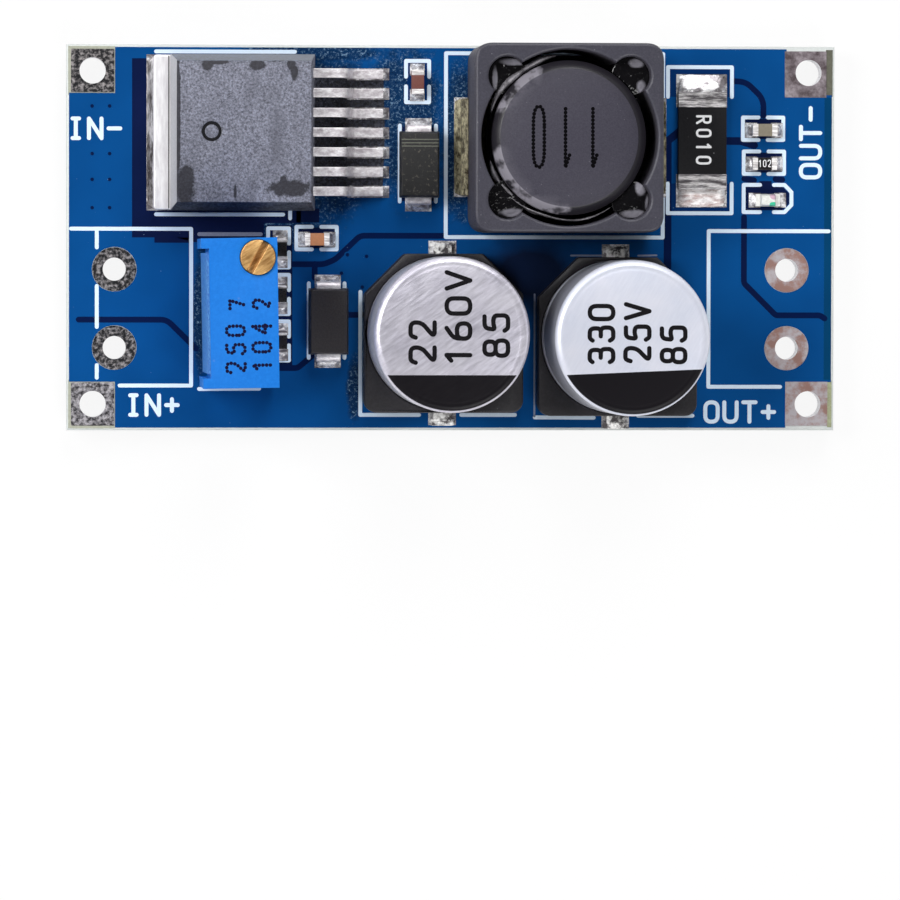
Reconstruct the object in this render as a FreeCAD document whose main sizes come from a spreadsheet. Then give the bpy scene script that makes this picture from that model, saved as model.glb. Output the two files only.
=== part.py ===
import FreeCAD, Part
import math
import os
import Sketcher

# Buck converter module: a small circuit board that carries a switching regulator, a shielded
# inductor, two electrolytic capacitors, two diodes, a current shunt, chip parts and a trimmer.
# Millimetres. The origin is the centre of the board's underside, +X runs from the input end
# to the output end, +Y is across the board and +Z points up through the parts.

SIZES = {
    # Circuit board and its plated holes
    "board_length": 50.0,
    "board_width": 25.0,
    "board_thickness": 1.6,
    "board_bevel": 0.2,
    "plating": 0.05,
    "corner_inset": 1.7,
    "corner_hole": 1.7,
    "corner_pad": 2.8,
    "terminal_inset": 3.1,
    "terminal_row_inset": 7.9,
    "terminal_pitch": 5.08,
    "terminal_hole": 1.5,
    "terminal_pad": 2.85,
    # Switching regulator with seven leads and a soldered heat tab
    "regulator_x": -13.62,
    "regulator_y": 6.8,
    "regulator_length": 9.35,
    "regulator_width": 10.1,
    "regulator_height": 4.45,
    "regulator_flange": 1.35,
    "regulator_draft_x": 0.35,
    "regulator_draft_y": 0.5,
    "regulator_mark": 1.28,
    "regulator_mark_inset": 2.59,
    "regulator_mark_depth": 0.12,
    "tab_reach": 1.1,
    "tab_width": 10.0,
    "tab_inner_width": 8.4,
    "tab_thickness": 1.27,
    "tab_corner": 0.35,
    "lead_pitch": 1.27,
    "lead_width": 0.6,
    "lead_thickness": 0.5,
    "lead_rise": 2.3,
    "lead_shoulder": 1.75,
    "lead_foot_start": 2.15,
    "lead_reach": 4.45,
    "lead_embed": 0.6,
    "lead_bend": 0.2,
    # Flat-lead diodes
    "diode_length": 4.3,
    "diode_width": 2.6,
    "diode_height": 2.1,
    "diode_draft": 0.12,
    "diode_lead_width": 1.55,
    "diode_lead_thickness": 0.2,
    "diode_lead_rise": 0.95,
    "diode_lead_reach": 0.45,
    "diode_lead_return": 1.3,
    "diode_lead_bend": 0.1,
    "catch_diode_x": -2.17,
    "catch_diode_y": 4.75,
    "input_diode_x": -8.05,
    "input_diode_y": -5.42,
    # Shielded power inductor
    "inductor_x": 7.07,
    "inductor_y": 6.4,
    "shield_side": 12.1,
    "shield_corner": 1.15,
    "shield_height": 7.45,
    "shield_edge": 0.18,
    "shield_bore": 11.3,
    "lobe_radius": 1.25,
    "lobe_offset": 3.95,
    "core_flange": 9.9,
    "core_face": 8.9,
    "core_bevel_height": 0.4,
    "core_flange_thickness": 1.4,
    "core_post": 4.6,
    "core_height": 7.2,
    "winding_outer": 9.0,
    "clip_width": 6.3,
    "clip_thickness": 0.2,
    "clip_reach": 0.45,
    "clip_inner": 2.8,
    "clip_lip": 1.1,
    "clip_shift": -0.5,
    "glue_depth": 0.7,
    "glue_height": 1.3,
    # Electrolytic capacitors on moulded bases
    "input_capacitor_x": -0.6,
    "input_capacitor_y": -6.17,
    "output_capacitor_x": 10.7,
    "output_capacitor_y": -6.38,
    "can_diameter": 9.95,
    "can_top": 10.45,
    "can_edge": 0.45,
    "can_neck": 9.3,
    "can_neck_low": 2.3,
    "can_neck_high": 3.0,
    "base_side": 10.3,
    "base_chamfer": 2.6,
    "base_corner": 0.8,
    "base_height": 1.9,
    "base_floor": 0.75,
    "base_lift": 0.05,
    "can_clearance": 0.02,
    "can_lead_width": 1.2,
    "can_lead_thickness": 0.3,
    "can_lead_stub": 0.6,
    "can_lead_pitch": 4.5,
    "can_lead_reach": 5.7,
    "can_land_width": 1.8,
    "slot_clearance": 0.05,
    # Current shunt
    "shunt_x": 16.3,
    "shunt_y": 6.36,
    "shunt_length": 6.35,
    "shunt_width": 3.15,
    "shunt_height": 0.65,
    "shunt_band": 1.0,
    "shunt_wrap": 0.08,
    "shunt_solder_reach": 1.15,
    # Chip resistors, chip capacitors and the indicator lamp
    "chip_length": 1.6,
    "chip_width": 0.8,
    "chip_band": 0.35,
    "chip_wrap": 0.04,
    "chip_capacitor_height": 0.8,
    "chip_resistor_height": 0.5,
    "lamp_height": 0.3,
    "lamp_lens_length": 1.05,
    "lamp_lens_height": 0.42,
    "lamp_lens_draft": 0.1,
    # Multi-turn trimmer
    "trimmer_x": -14.04,
    "trimmer_y": -4.82,
    "trimmer_turn": 1.0,
    "trimmer_width": 4.83,
    "trimmer_length": 9.53,
    "trimmer_height": 10.3,
    "trimmer_foot": 0.65,
    "trimmer_lift": 0.35,
    "trimmer_recess": 0.5,
    "trimmer_wall": 0.7,
    "trimmer_cavity": 7.8,
    "pin_pitch": 2.54,
    "pin_width": 0.5,
    "pin_hole": 0.9,
    "pin_tail": 0.6,
    "solder_dome": 0.85,
    "element_thickness": 0.6,
    "element_bottom": 1.6,
    "element_top": 8.0,
    "track_radius": 2.1,
    "screw_inset": 1.25,
    "screw_head": 2.22,
    "screw_proud": 0.25,
    "screw_shank": 1.9,
    "screw_slot_width": 0.4,
    "screw_slot_depth": 0.55,
    "screw_slot_angle": 60.0,
    "screw_neck": 1.5,
    "screw_neck_height": 0.45,
    "screw_neck_drop": 0.75,
    "worm_diameter": 1.3,
    "worm_end": 1.55,
    "running_clearance": 0.04,
    "chamber_clearance": 0.12,
    "wheel_teeth": 34,
    "wheel_tooth_depth": 0.28,
    "tooth_gap_root_share": 0.35,
    "tooth_gap_tip_share": 0.65,
    "wheel_thickness": 0.9,
    "wheel_centre_z": 4.8,
    "wheel_pivot": 0.9,
    "wiper_thickness": 0.1,
    "wiper_width": 1.1,
    # Solder: a bead's hollow face passes through its knee, given as shares of its reach and height
    "solder_height": 0.42,
    "solder_reach": 0.42,
    "solder_edge": 0.04,
    "solder_knee_reach": 0.4,
    "solder_knee_height": 0.3,
    "tab_solder_height": 0.89,
    "foot_solder_height": 0.4,
    "can_solder_height": 0.33,
    "can_solder_width": 1.56,
    "can_solder_reach": 0.29,
    "cap_solder_share": 0.7,
    "solder_dome_crown": 0.5,
    "land_margin": 0.08,
}

# Chip parts: centre, turn about Z and height. Their cells are named after them.
CHIPS = {
    "bypass_capacitor": (-2.25, 10.1, 90, "chip_capacitor_height"),
    "input_chip_capacitor": (-8.77, -0.1, 0, "chip_capacitor_height"),
    "output_chip_capacitor": (20.39, 7.06, 0, "chip_capacitor_height"),
    "lamp_resistor": (20.4, 4.87, 0, "chip_resistor_height"),
    "upper_divider_resistor": (-11.14, -0.74, 90, "chip_resistor_height"),
    "middle_divider_resistor": (-11.14, -3.74, 90, "chip_resistor_height"),
    "lower_divider_resistor": (-11.1, -6.77, 90, "chip_resistor_height"),
    "indicator_lamp": (20.62, 2.5, 0, "lamp_height"),
}
for chip, (chip_x, chip_y, chip_turn, chip_height) in CHIPS.items():
    SIZES[chip + "_x"] = chip_x
    SIZES[chip + "_y"] = chip_y

doc = FreeCAD.newDocument("BuckConverter")
sheet = doc.addObject("Spreadsheet::Sheet", "Sizes")
for row, (alias, value) in enumerate(SIZES.items(), start=1):
    sheet.set("A%d" % row, alias)
    sheet.set("B%d" % row, str(value))
    sheet.setAlias("B%d" % row, alias)
doc.recompute()


class Size:
    """A length that knows both its value and the sheet expression that gives it."""

    def __init__(self, value, text):
        self.value = value
        self.text = text

    def __add__(self, other):
        return Size(self.value + number(other), "(%s + %s)" % (self.text, words(other)))

    def __radd__(self, other):
        return Size(number(other) + self.value, "(%s + %s)" % (words(other), self.text))

    def __sub__(self, other):
        return Size(self.value - number(other), "(%s - %s)" % (self.text, words(other)))

    def __rsub__(self, other):
        return Size(number(other) - self.value, "(%s - %s)" % (words(other), self.text))

    def __mul__(self, other):
        return Size(self.value * number(other), "(%s * %s)" % (self.text, words(other)))

    def __rmul__(self, other):
        return self * other

    def __truediv__(self, other):
        return Size(self.value / number(other), "(%s / %s)" % (self.text, words(other)))

    def __neg__(self):
        return Size(-self.value, "(0 - %s)" % self.text)


def number(size):
    """The plain number that a size stands for."""
    return size.value if isinstance(size, Size) else float(size)


def words(size):
    """The expression that a size stands for."""
    return size.text if isinstance(size, Size) else repr(float(size))


def cell(name):
    """The size kept in the sheet under this alias."""
    return Size(float(SIZES[name]), "Sizes." + name)


def sine(angle):
    """The sine of an angle in degrees."""
    return Size(math.sin(math.radians(number(angle))), "sin(%s * 1deg)" % words(angle))


def cosine(angle):
    """The cosine of an angle in degrees."""
    return Size(math.cos(math.radians(number(angle))), "cos(%s * 1deg)" % words(angle))


def bind(item, **sizes):
    """Ties properties of an object to their sizes."""
    for name, size in sizes.items():
        if isinstance(size, Size):
            item.setExpression(name, size.text)
        else:
            setattr(item, name, size)


def place(item, x=0, y=0, z=0, turn=0):
    """Puts an object at a point, turned about Z."""
    item.Placement = FreeCAD.Placement(
        FreeCAD.Vector(number(x), number(y), number(z)),
        FreeCAD.Rotation(FreeCAD.Vector(0, 0, 1), number(turn)),
    )
    for axis, size in (("x", x), ("y", y), ("z", z)):
        if isinstance(size, Size):
            item.setExpression("Placement.Base." + axis, size.text)
    if isinstance(turn, Size):
        item.setExpression("Placement.Rotation.Angle", turn.text)
    return item


def box(name, size, corner):
    """A box from its lowest corner."""
    part = doc.addObject("Part::Box", name)
    bind(part, Length=size[0], Width=size[1], Height=size[2])
    return place(part, *corner)


def block(name, size, foot):
    """A box that stands on the middle of its underside."""
    return box(name, size, (foot[0] - size[0] / 2, foot[1] - size[1] / 2, foot[2]))


def rod(name, radius, height, foot):
    """An upright cylinder."""
    part = doc.addObject("Part::Cylinder", name)
    bind(part, Radius=radius, Height=height)
    return place(part, *foot)


def rod_x(name, radius, height, start):
    """A cylinder that lies along +X from its start."""
    part = rod(name, radius, height, start)
    part.Placement.Rotation = FreeCAD.Rotation(FreeCAD.Vector(0, 1, 0), 90)
    return part


def join(name, pieces):
    """One solid from pieces that meet."""
    part = doc.addObject("Part::MultiFuse", name)
    part.Shapes = pieces
    part.Refine = True
    return part


def cut(name, base, tools):
    """A base with the space of one or more tools taken out."""
    tool = tools[0]
    if len(tools) > 1:
        tool = doc.addObject("Part::Compound", name + "_tools")
        tool.Links = tools
    part = doc.addObject("Part::Cut", name)
    part.Base = base
    part.Tool = tool
    part.Refine = True
    return part


def group(name, pieces):
    """Like pieces that stay separate solids in one node."""
    part = doc.addObject("Part::Compound", name)
    part.Links = pieces
    return part


def new_body(name):
    """An empty body."""
    return doc.addObject("PartDesign::Body", name)


def draw(body, name, role, lift=0):
    """An empty sketch on one of the body's own planes, lifted along the plane's normal."""
    sketch = body.newObject("Sketcher::SketchObject", name)
    plane = [item for item in body.Origin.OriginFeatures if item.Role == role][0]
    sketch.AttachmentSupport = [(plane, "")]
    sketch.MapMode = "FlatFace"
    sketch.AttachmentOffset = FreeCAD.Placement(FreeCAD.Vector(0, 0, number(lift)), FreeCAD.Rotation())
    if isinstance(lift, Size):
        sketch.setExpression("AttachmentOffset.Base.z", lift.text)
    return sketch


def fix_point(sketch, geometry, point, x, y):
    """Holds a point of the sketch at its distances from the sketch's origin."""
    for kind, size in (("DistanceX", x), ("DistanceY", y)):
        rule = sketch.addConstraint(Sketcher.Constraint(kind, -1, 1, geometry, point, number(size)))
        if isinstance(size, Size):
            sketch.setExpression("Constraints[%d]" % rule, size.text)


def polygon(sketch, corners):
    """A closed outline through its corners."""
    first = sketch.GeometryCount
    spots = [FreeCAD.Vector(number(x), number(y), 0) for x, y in corners]
    for start, end in zip(spots, spots[1:] + spots[:1]):
        sketch.addGeometry(Part.LineSegment(start, end), False)
    for index, (x, y) in enumerate(corners):
        after = first + (index + 1) % len(corners)
        sketch.addConstraint(Sketcher.Constraint("Coincident", first + index, 2, after, 1))
        fix_point(sketch, first + index, 1, x, y)


def rectangle(sketch, length, width, x=0, y=0):
    """A rectangle about a centre."""
    polygon(sketch, [
        (x - length / 2, y - width / 2),
        (x + length / 2, y - width / 2),
        (x + length / 2, y + width / 2),
        (x - length / 2, y + width / 2),
    ])


def circle(sketch, radius, x=0, y=0):
    """A circle about a centre."""
    centre = FreeCAD.Vector(number(x), number(y), 0)
    index = sketch.addGeometry(Part.Circle(centre, FreeCAD.Vector(0, 0, 1), number(radius)), False)
    fix_point(sketch, index, 3, x, y)
    rule = sketch.addConstraint(Sketcher.Constraint("Radius", index, number(radius)))
    if isinstance(radius, Size):
        sketch.setExpression("Constraints[%d]" % rule, radius.text)


def pad(body, sketch, length, symmetric=False):
    """Raises a sketch into a solid."""
    feature = body.newObject("PartDesign::Pad", sketch.Name + "_pad")
    feature.Profile = sketch
    feature.SideType = "Symmetric" if symmetric else "One side"
    bind(feature, Length=length)
    sketch.Visibility = False
    body.Tip = feature
    return feature


def pocket(body, sketch, depth, upward=False):
    """Cuts a sketch into the solid, down from it or upward."""
    feature = body.newObject("PartDesign::Pocket", sketch.Name + "_pocket")
    feature.Profile = sketch
    feature.Reversed = upward
    bind(feature, Length=depth)
    body.Tip = feature
    return feature


def turned(name, corners):
    """A solid of revolution about Z from its half outline, as radius and height pairs."""
    body = new_body(name)
    sketch = draw(body, name + "_half", "XZ_Plane")
    polygon(sketch, corners)
    feature = body.newObject("PartDesign::Revolution", name + "_turn")
    feature.Profile = sketch
    feature.ReferenceAxis = (sketch, ["V_Axis"])
    feature.Angle = 360
    body.Tip = feature
    return body


def strip(name, corners, width):
    """A bar across Y whose section is drawn in X and Z."""
    body = new_body(name)
    sketch = draw(body, name + "_section", "XZ_Plane")
    polygon(sketch, corners)
    pad(body, sketch, width, symmetric=True)
    return body


def dress(body, kind, name, size, wanted):
    """A fillet or chamfer on the edges whose middle point is wanted."""
    doc.recompute()
    base = body.Tip
    names = []
    for index, edge in enumerate(base.Shape.Edges, start=1):
        middle = edge.CenterOfMass
        if wanted(edge, middle):
            names.append("Edge%d" % index)
    feature = body.newObject("PartDesign::" + kind, name)
    feature.Base = (base, names)
    bind(feature, **{"Radius" if kind == "Fillet" else "Size": size})
    body.Tip = feature
    return feature


def near(value, size):
    """True where a coordinate meets a size."""
    return abs(value - number(size)) < 1e-4


def upright(edge):
    """True for a straight edge along Z."""
    ends = edge.Vertexes
    return len(ends) == 2 and math.hypot(ends[0].X - ends[1].X, ends[0].Y - ends[1].Y) < 1e-6


def loft(body, name, lower, upper):
    """A drafted block between two sketches."""
    feature = body.newObject("PartDesign::AdditiveLoft", name)
    feature.Profile = lower
    feature.Sections = [upper]
    feature.Ruled = True
    body.Tip = feature
    return feature


nodes = []


def node(part, name):
    """Names a finished sub-part."""
    part.Label = name
    nodes.append(part)
    return part


board_top = cell("board_thickness")
seat = board_top + cell("plating")


# The board, bevelled where it was snapped from its panel, with the copper lands of its plated holes
trimmer_turn = cell("trimmer_turn")
pin_steps = (-1, 0, 1)
pin_spots = [
    (cell("trimmer_x") - cell("pin_pitch") * step * sine(trimmer_turn),
     cell("trimmer_y") + cell("pin_pitch") * step * cosine(trimmer_turn))
    for step in pin_steps
]
corner_x = cell("board_length") / 2 - cell("corner_inset")
corner_y = cell("board_width") / 2 - cell("corner_inset")
corner_spots = [(corner_x * sx, corner_y * sy) for sx in (-1, 1) for sy in (-1, 1)]
terminal_x = cell("board_length") / 2 - cell("terminal_inset")
terminal_y = cell("terminal_row_inset") - cell("board_width") / 2
terminal_spots = [
    (terminal_x * sx, terminal_y + cell("terminal_pitch") * sy / 2)
    for sx in (-1, 1) for sy in (-1, 1)
]

board = new_body("circuit_board")
outline = draw(board, "board_outline", "XY_Plane")
rectangle(outline, cell("board_length"), cell("board_width"))
pad(board, outline, board_top)
dress(board, "Chamfer", "board_snapped_edge", cell("board_bevel"), lambda edge, middle: not upright(edge))
for face_name, level in (("top", board_top), ("bottom", -cell("plating"))):
    face_lands = draw(board, "plated_lands_" + face_name, "XY_Plane", level)
    for spot in corner_spots:
        rectangle(face_lands, cell("corner_pad"), cell("corner_pad"), *spot)
    for spot in terminal_spots:
        circle(face_lands, cell("terminal_pad") / 2, *spot)
    pad(board, face_lands, cell("plating"))
drilling = draw(board, "board_drilling", "XY_Plane", -cell("plating"))
for spots, hole in (
    (corner_spots, cell("corner_hole")), (terminal_spots, cell("terminal_hole")), (pin_spots, cell("pin_hole")),
):
    for spot in spots:
        circle(drilling, hole / 2, *spot)
pocket(board, drilling, seat + cell("plating"), upward=True)
node(board, "circuit_board")


# Lands and solder are gathered here as the parts are placed on the board
lands = []
solder = {}


def land(name, x, y, length, width):
    """A tinned copper land on the board's top face."""
    lands.append(block(name + "_land", (length, width, cell("plating")), (x, y, board_top)))


def bead(kind, name, x, y, turn, width, height=None, reach=None, lift=0):
    """A solder bead with a hollow face that climbs a lead; it runs out along local +X."""
    height = height or cell("solder_height")
    reach = reach or cell("solder_reach")
    section = [(0, 0), (reach, 0), (reach, cell("solder_edge")),
               (reach * cell("solder_knee_reach"), height * cell("solder_knee_height")), (0, height)]
    body = strip(name + "_bead", section, width)
    place(body, x, y, seat + lift, turn)
    solder.setdefault(kind, []).append(body)


# Switching regulator: copper heat tab with the centre lead, six more leads, moulded body
reg_x = cell("regulator_x")
reg_y = cell("regulator_y")
reg_right = reg_x + cell("regulator_length") / 2
reg_left = reg_x - cell("regulator_length") / 2


def regulator_lead(name, lead_y, inner):
    """A gull-wing lead that leaves the body at its shoulder and lands on its foot."""
    thick = cell("lead_thickness")
    rise = cell("lead_rise")
    knee = cell("lead_shoulder")
    foot = cell("lead_foot_start")
    body = strip(name, inner + [
        (knee, rise), (foot, 0), (cell("lead_reach"), 0), (cell("lead_reach"), thick),
        (foot + thick, thick), (knee + thick, rise + thick),
    ], cell("lead_width"))
    bends = [(knee, rise), (foot, 0), (foot + thick, thick), (knee + thick, rise + thick)]
    dress(body, "Chamfer", name + "_bends", cell("lead_bend"), lambda edge, middle: any(
        near(middle.x, x) and near(middle.z, z) for x, z in bends
    ))
    return place(body, reg_right, lead_y, seat)


short_end = [(-cell("lead_embed"), cell("lead_rise") + cell("lead_thickness")),
             (-cell("lead_embed"), cell("lead_rise"))]
riser_x = -cell("lead_embed") * 2
riser_foot = cell("tab_thickness") / 2
riser = [
    (riser_x - cell("lead_thickness"), cell("lead_rise") + cell("lead_thickness")),
    (riser_x - cell("lead_thickness"), riser_foot), (riser_x, riser_foot), (riser_x, cell("lead_rise")),
]
lead_rows = (-3, -2, -1, 1, 2, 3)
regulator_leads = [
    regulator_lead("regulator_lead_%d" % (row + 4), reg_y + cell("lead_pitch") * row, short_end)
    for row in lead_rows
]
node(group("regulator_lead_set", regulator_leads), "regulator_leads")

tab_body = new_body("regulator_tab_plate")
tab_sketch = draw(tab_body, "tab_outline", "XY_Plane")
tab_end = -(cell("regulator_length") / 2 + cell("tab_reach"))
tab_step = -cell("regulator_length") / 2
tab_tip = cell("regulator_length") / 2 + riser_x
half_wide = cell("tab_width") / 2
half_slim = cell("tab_inner_width") / 2
clip = cell("tab_corner")
polygon(tab_sketch, [
    (tab_end + clip, -half_wide), (tab_step, -half_wide), (tab_step, -half_slim), (tab_tip, -half_slim),
    (tab_tip, half_slim), (tab_step, half_slim), (tab_step, half_wide), (tab_end + clip, half_wide),
    (tab_end, half_wide - clip), (tab_end, clip - half_wide),
])
pad(tab_body, tab_sketch, cell("tab_thickness"))
place(tab_body, reg_x, reg_y, seat)
centre_lead = regulator_lead("regulator_centre_lead", reg_y, riser)
heat_tab = node(join("regulator_tab_and_lead", [tab_body, centre_lead]), "regulator_heat_tab")

moulding = new_body("regulator_moulding")
flange = draw(moulding, "moulding_flange", "XY_Plane")
rectangle(flange, cell("regulator_length"), cell("regulator_width"))
pad(moulding, flange, cell("regulator_flange"))
lower = draw(moulding, "moulding_waist", "XY_Plane", cell("regulator_flange"))
rectangle(lower, cell("regulator_length"), cell("regulator_width"))
upper = draw(moulding, "moulding_top", "XY_Plane", cell("regulator_height"))
rectangle(upper, cell("regulator_length") - cell("regulator_draft_x") * 2,
          cell("regulator_width") - cell("regulator_draft_y") * 2)
loft(moulding, "moulding_draft", lower, upper)
mark = draw(moulding, "ejector_mark", "XY_Plane", cell("regulator_height"))
circle(mark, cell("regulator_mark") / 2, cell("regulator_mark_inset") - cell("regulator_length") / 2, 0)
pocket(moulding, mark, cell("regulator_mark_depth"))
place(moulding, reg_x, reg_y, seat)
node(cut("regulator_moulded_body", moulding, [heat_tab] + regulator_leads), "regulator_body")

land("regulator_tab", reg_left + cell("regulator_length") / 2 - cell("tab_reach") - cell("solder_reach"), reg_y,
     cell("regulator_length"), cell("regulator_width"))
bead("regulator", "regulator_tab", reg_x + tab_end, reg_y, 180, cell("tab_width") - cell("tab_corner") * 2,
     height=cell("tab_solder_height"))
for row in range(-3, 4):
    row_y = reg_y + cell("lead_pitch") * row
    foot_centre = reg_right + (cell("lead_foot_start") + cell("lead_reach")) / 2
    land("regulator_foot_%d" % (row + 4), foot_centre + cell("solder_reach") / 2, row_y,
         cell("lead_reach") - cell("lead_foot_start") + cell("solder_reach"),
         cell("lead_width") + cell("land_margin") * 2)
    bead("regulator", "regulator_foot_%d" % (row + 4), reg_right + cell("lead_reach"), row_y, 0,
         cell("lead_width"), height=cell("foot_solder_height"))


# Diodes: a drafted body between two leads folded under its ends
def diode(name, x, y):
    """One diode that lies along Y."""
    length = cell("diode_length")
    width = cell("diode_width")
    draft = cell("diode_draft") * 2
    thick = cell("diode_lead_thickness")
    rise = cell("diode_lead_rise")
    waist = rise + thick / 2
    body = new_body(name + "_moulding")
    sketches = []
    for level, trim in ((thick, draft), (waist, 0), (cell("diode_height"), draft)):
        sketch = draw(body, "%s_level_%d" % (name, len(sketches)), "XY_Plane", level)
        rectangle(sketch, width - trim, length - trim)
        sketches.append(sketch)
    loft(body, name + "_lower_half", sketches[0], sketches[1])
    waist_again = draw(body, name + "_waist", "XY_Plane", waist)
    rectangle(waist_again, width, length)
    loft(body, name + "_upper_half", waist_again, sketches[2])
    place(body, x, y, seat)

    out = length / 2 + cell("diode_lead_reach")
    back = length / 2 - cell("diode_lead_return")
    face = length / 2 - cell("diode_draft")
    leads = []
    for side, turn in (("a", 90), ("b", -90)):
        lead = strip("%s_lead_%s" % (name, side), [
            (face, rise), (out - thick, rise), (out - thick, thick), (back, thick),
            (back, 0), (out, 0), (out, rise + thick), (face, rise + thick),
        ], cell("diode_lead_width"))
        dress(lead, "Chamfer", lead.Name + "_bends", cell("diode_lead_bend"), lambda edge, middle: (
            near(middle.x, out) and (near(middle.z, 0) or near(middle.z, rise + thick))
        ))
        leads.append(place(lead, x, y, seat, turn))
        sign = 1 if turn > 0 else -1
        middle_y = y + (out + cell("solder_reach") + back) / 2 * sign
        land(lead.Name, x, middle_y, cell("diode_lead_width") + cell("land_margin") * 2,
             out - back + cell("solder_reach"))
        bead("diode", lead.Name, x, y + out * sign, turn, cell("diode_lead_width"))
    node(cut(name + "_moulded_body", body, leads), name + "_body")
    node(group(name + "_lead_pair", leads), name + "_leads")


diode("catch_diode", cell("catch_diode_x"), cell("catch_diode_y"))
diode("input_diode", cell("input_diode_x"), cell("input_diode_y"))


# Inductor: a square ferrite shield around a wound drum core, glued at its four corners
coil_x = cell("inductor_x")
coil_y = cell("inductor_y")
coil_z = seat + cell("clip_thickness")

shield = new_body("inductor_shield")
shield_outline = draw(shield, "shield_outline", "XY_Plane")
rectangle(shield_outline, cell("shield_side"), cell("shield_side"))
pad(shield, shield_outline, cell("shield_height"))
dress(shield, "Fillet", "shield_corners", cell("shield_corner"), lambda edge, middle: upright(edge))
dress(shield, "Chamfer", "shield_top_edge", cell("shield_edge"),
      lambda edge, middle: near(middle.z, cell("shield_height")))
shield_bore = draw(shield, "shield_bore", "XY_Plane")
circle(shield_bore, cell("shield_bore") / 2)
pocket(shield, shield_bore, cell("shield_height"), upward=True)
for index, (sx, sy) in enumerate(((-1, -1), (-1, 1), (1, -1), (1, 1))):
    lobe = draw(shield, "shield_lobe_%d" % index, "XY_Plane")
    circle(lobe, cell("lobe_radius"), cell("lobe_offset") * sx, cell("lobe_offset") * sy)
    pocket(shield, lobe, cell("shield_height"), upward=True)
place(shield, coil_x, coil_y, coil_z)
node(shield, "inductor_shield")

flange_r = cell("core_flange") / 2
face_r = cell("core_face") / 2
post_r = cell("core_post") / 2
flange_t = cell("core_flange_thickness")
core_top = cell("core_height")
core = turned("inductor_core", [
    (0, 0), (flange_r, 0), (flange_r, flange_t), (post_r, flange_t), (post_r, core_top - flange_t),
    (flange_r, core_top - flange_t), (flange_r, core_top - cell("core_bevel_height")),
    (face_r, core_top), (0, core_top),
])
place(core, coil_x, coil_y, coil_z)
node(core, "inductor_core")

winding_r = cell("winding_outer") / 2
winding = turned("inductor_winding", [
    (post_r, flange_t), (winding_r, flange_t), (winding_r, core_top - flange_t), (post_r, core_top - flange_t),
])
place(winding, coil_x, coil_y, coil_z)
node(winding, "inductor_winding")

clips = []
clip_y = coil_y + cell("clip_shift")
half_shield = cell("shield_side") / 2
for side, turn in (("a", 180), ("b", 0)):
    clip_out = half_shield + cell("clip_reach")
    sign = 1 if turn == 0 else -1
    clips.append(place(strip("inductor_clip_" + side, [
        (half_shield - cell("clip_inner"), 0), (clip_out, 0), (clip_out, cell("clip_lip")),
        (half_shield, cell("clip_lip")), (half_shield, cell("clip_thickness")),
        (half_shield - cell("clip_inner"), cell("clip_thickness")),
    ], cell("clip_width")), coil_x, clip_y, seat, turn))
    land("inductor_clip_" + side,
         coil_x + (clip_out + cell("solder_reach") + half_shield - cell("clip_inner")) / 2 * sign, clip_y,
         cell("clip_reach") + cell("clip_inner") + cell("solder_reach"),
         cell("clip_width") + cell("land_margin") * 2)
    bead("inductor", "inductor_clip_" + side, coil_x + clip_out * sign, clip_y, turn, cell("clip_width"))
node(group("inductor_clips", clips), "inductor_terminals")

glue = []
for index, (sx, sy) in enumerate(((-1, -1), (-1, 1), (1, -1), (1, 1))):
    lobe_x = coil_x + cell("lobe_offset") * sx
    lobe_y = coil_y + cell("lobe_offset") * sy
    glue_z = coil_z + core_top - cell("glue_depth") - cell("glue_height")
    blob = rod("glue_blob_%d" % index, cell("lobe_radius"), cell("glue_height"), (lobe_x, lobe_y, glue_z))
    flange_space = rod("glue_flange_%d" % index, flange_r, cell("glue_height"), (coil_x, coil_y, glue_z))
    glue.append(cut("glue_%d" % index, blob, [flange_space]))
node(group("inductor_glue_set", glue), "inductor_glue")


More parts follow.
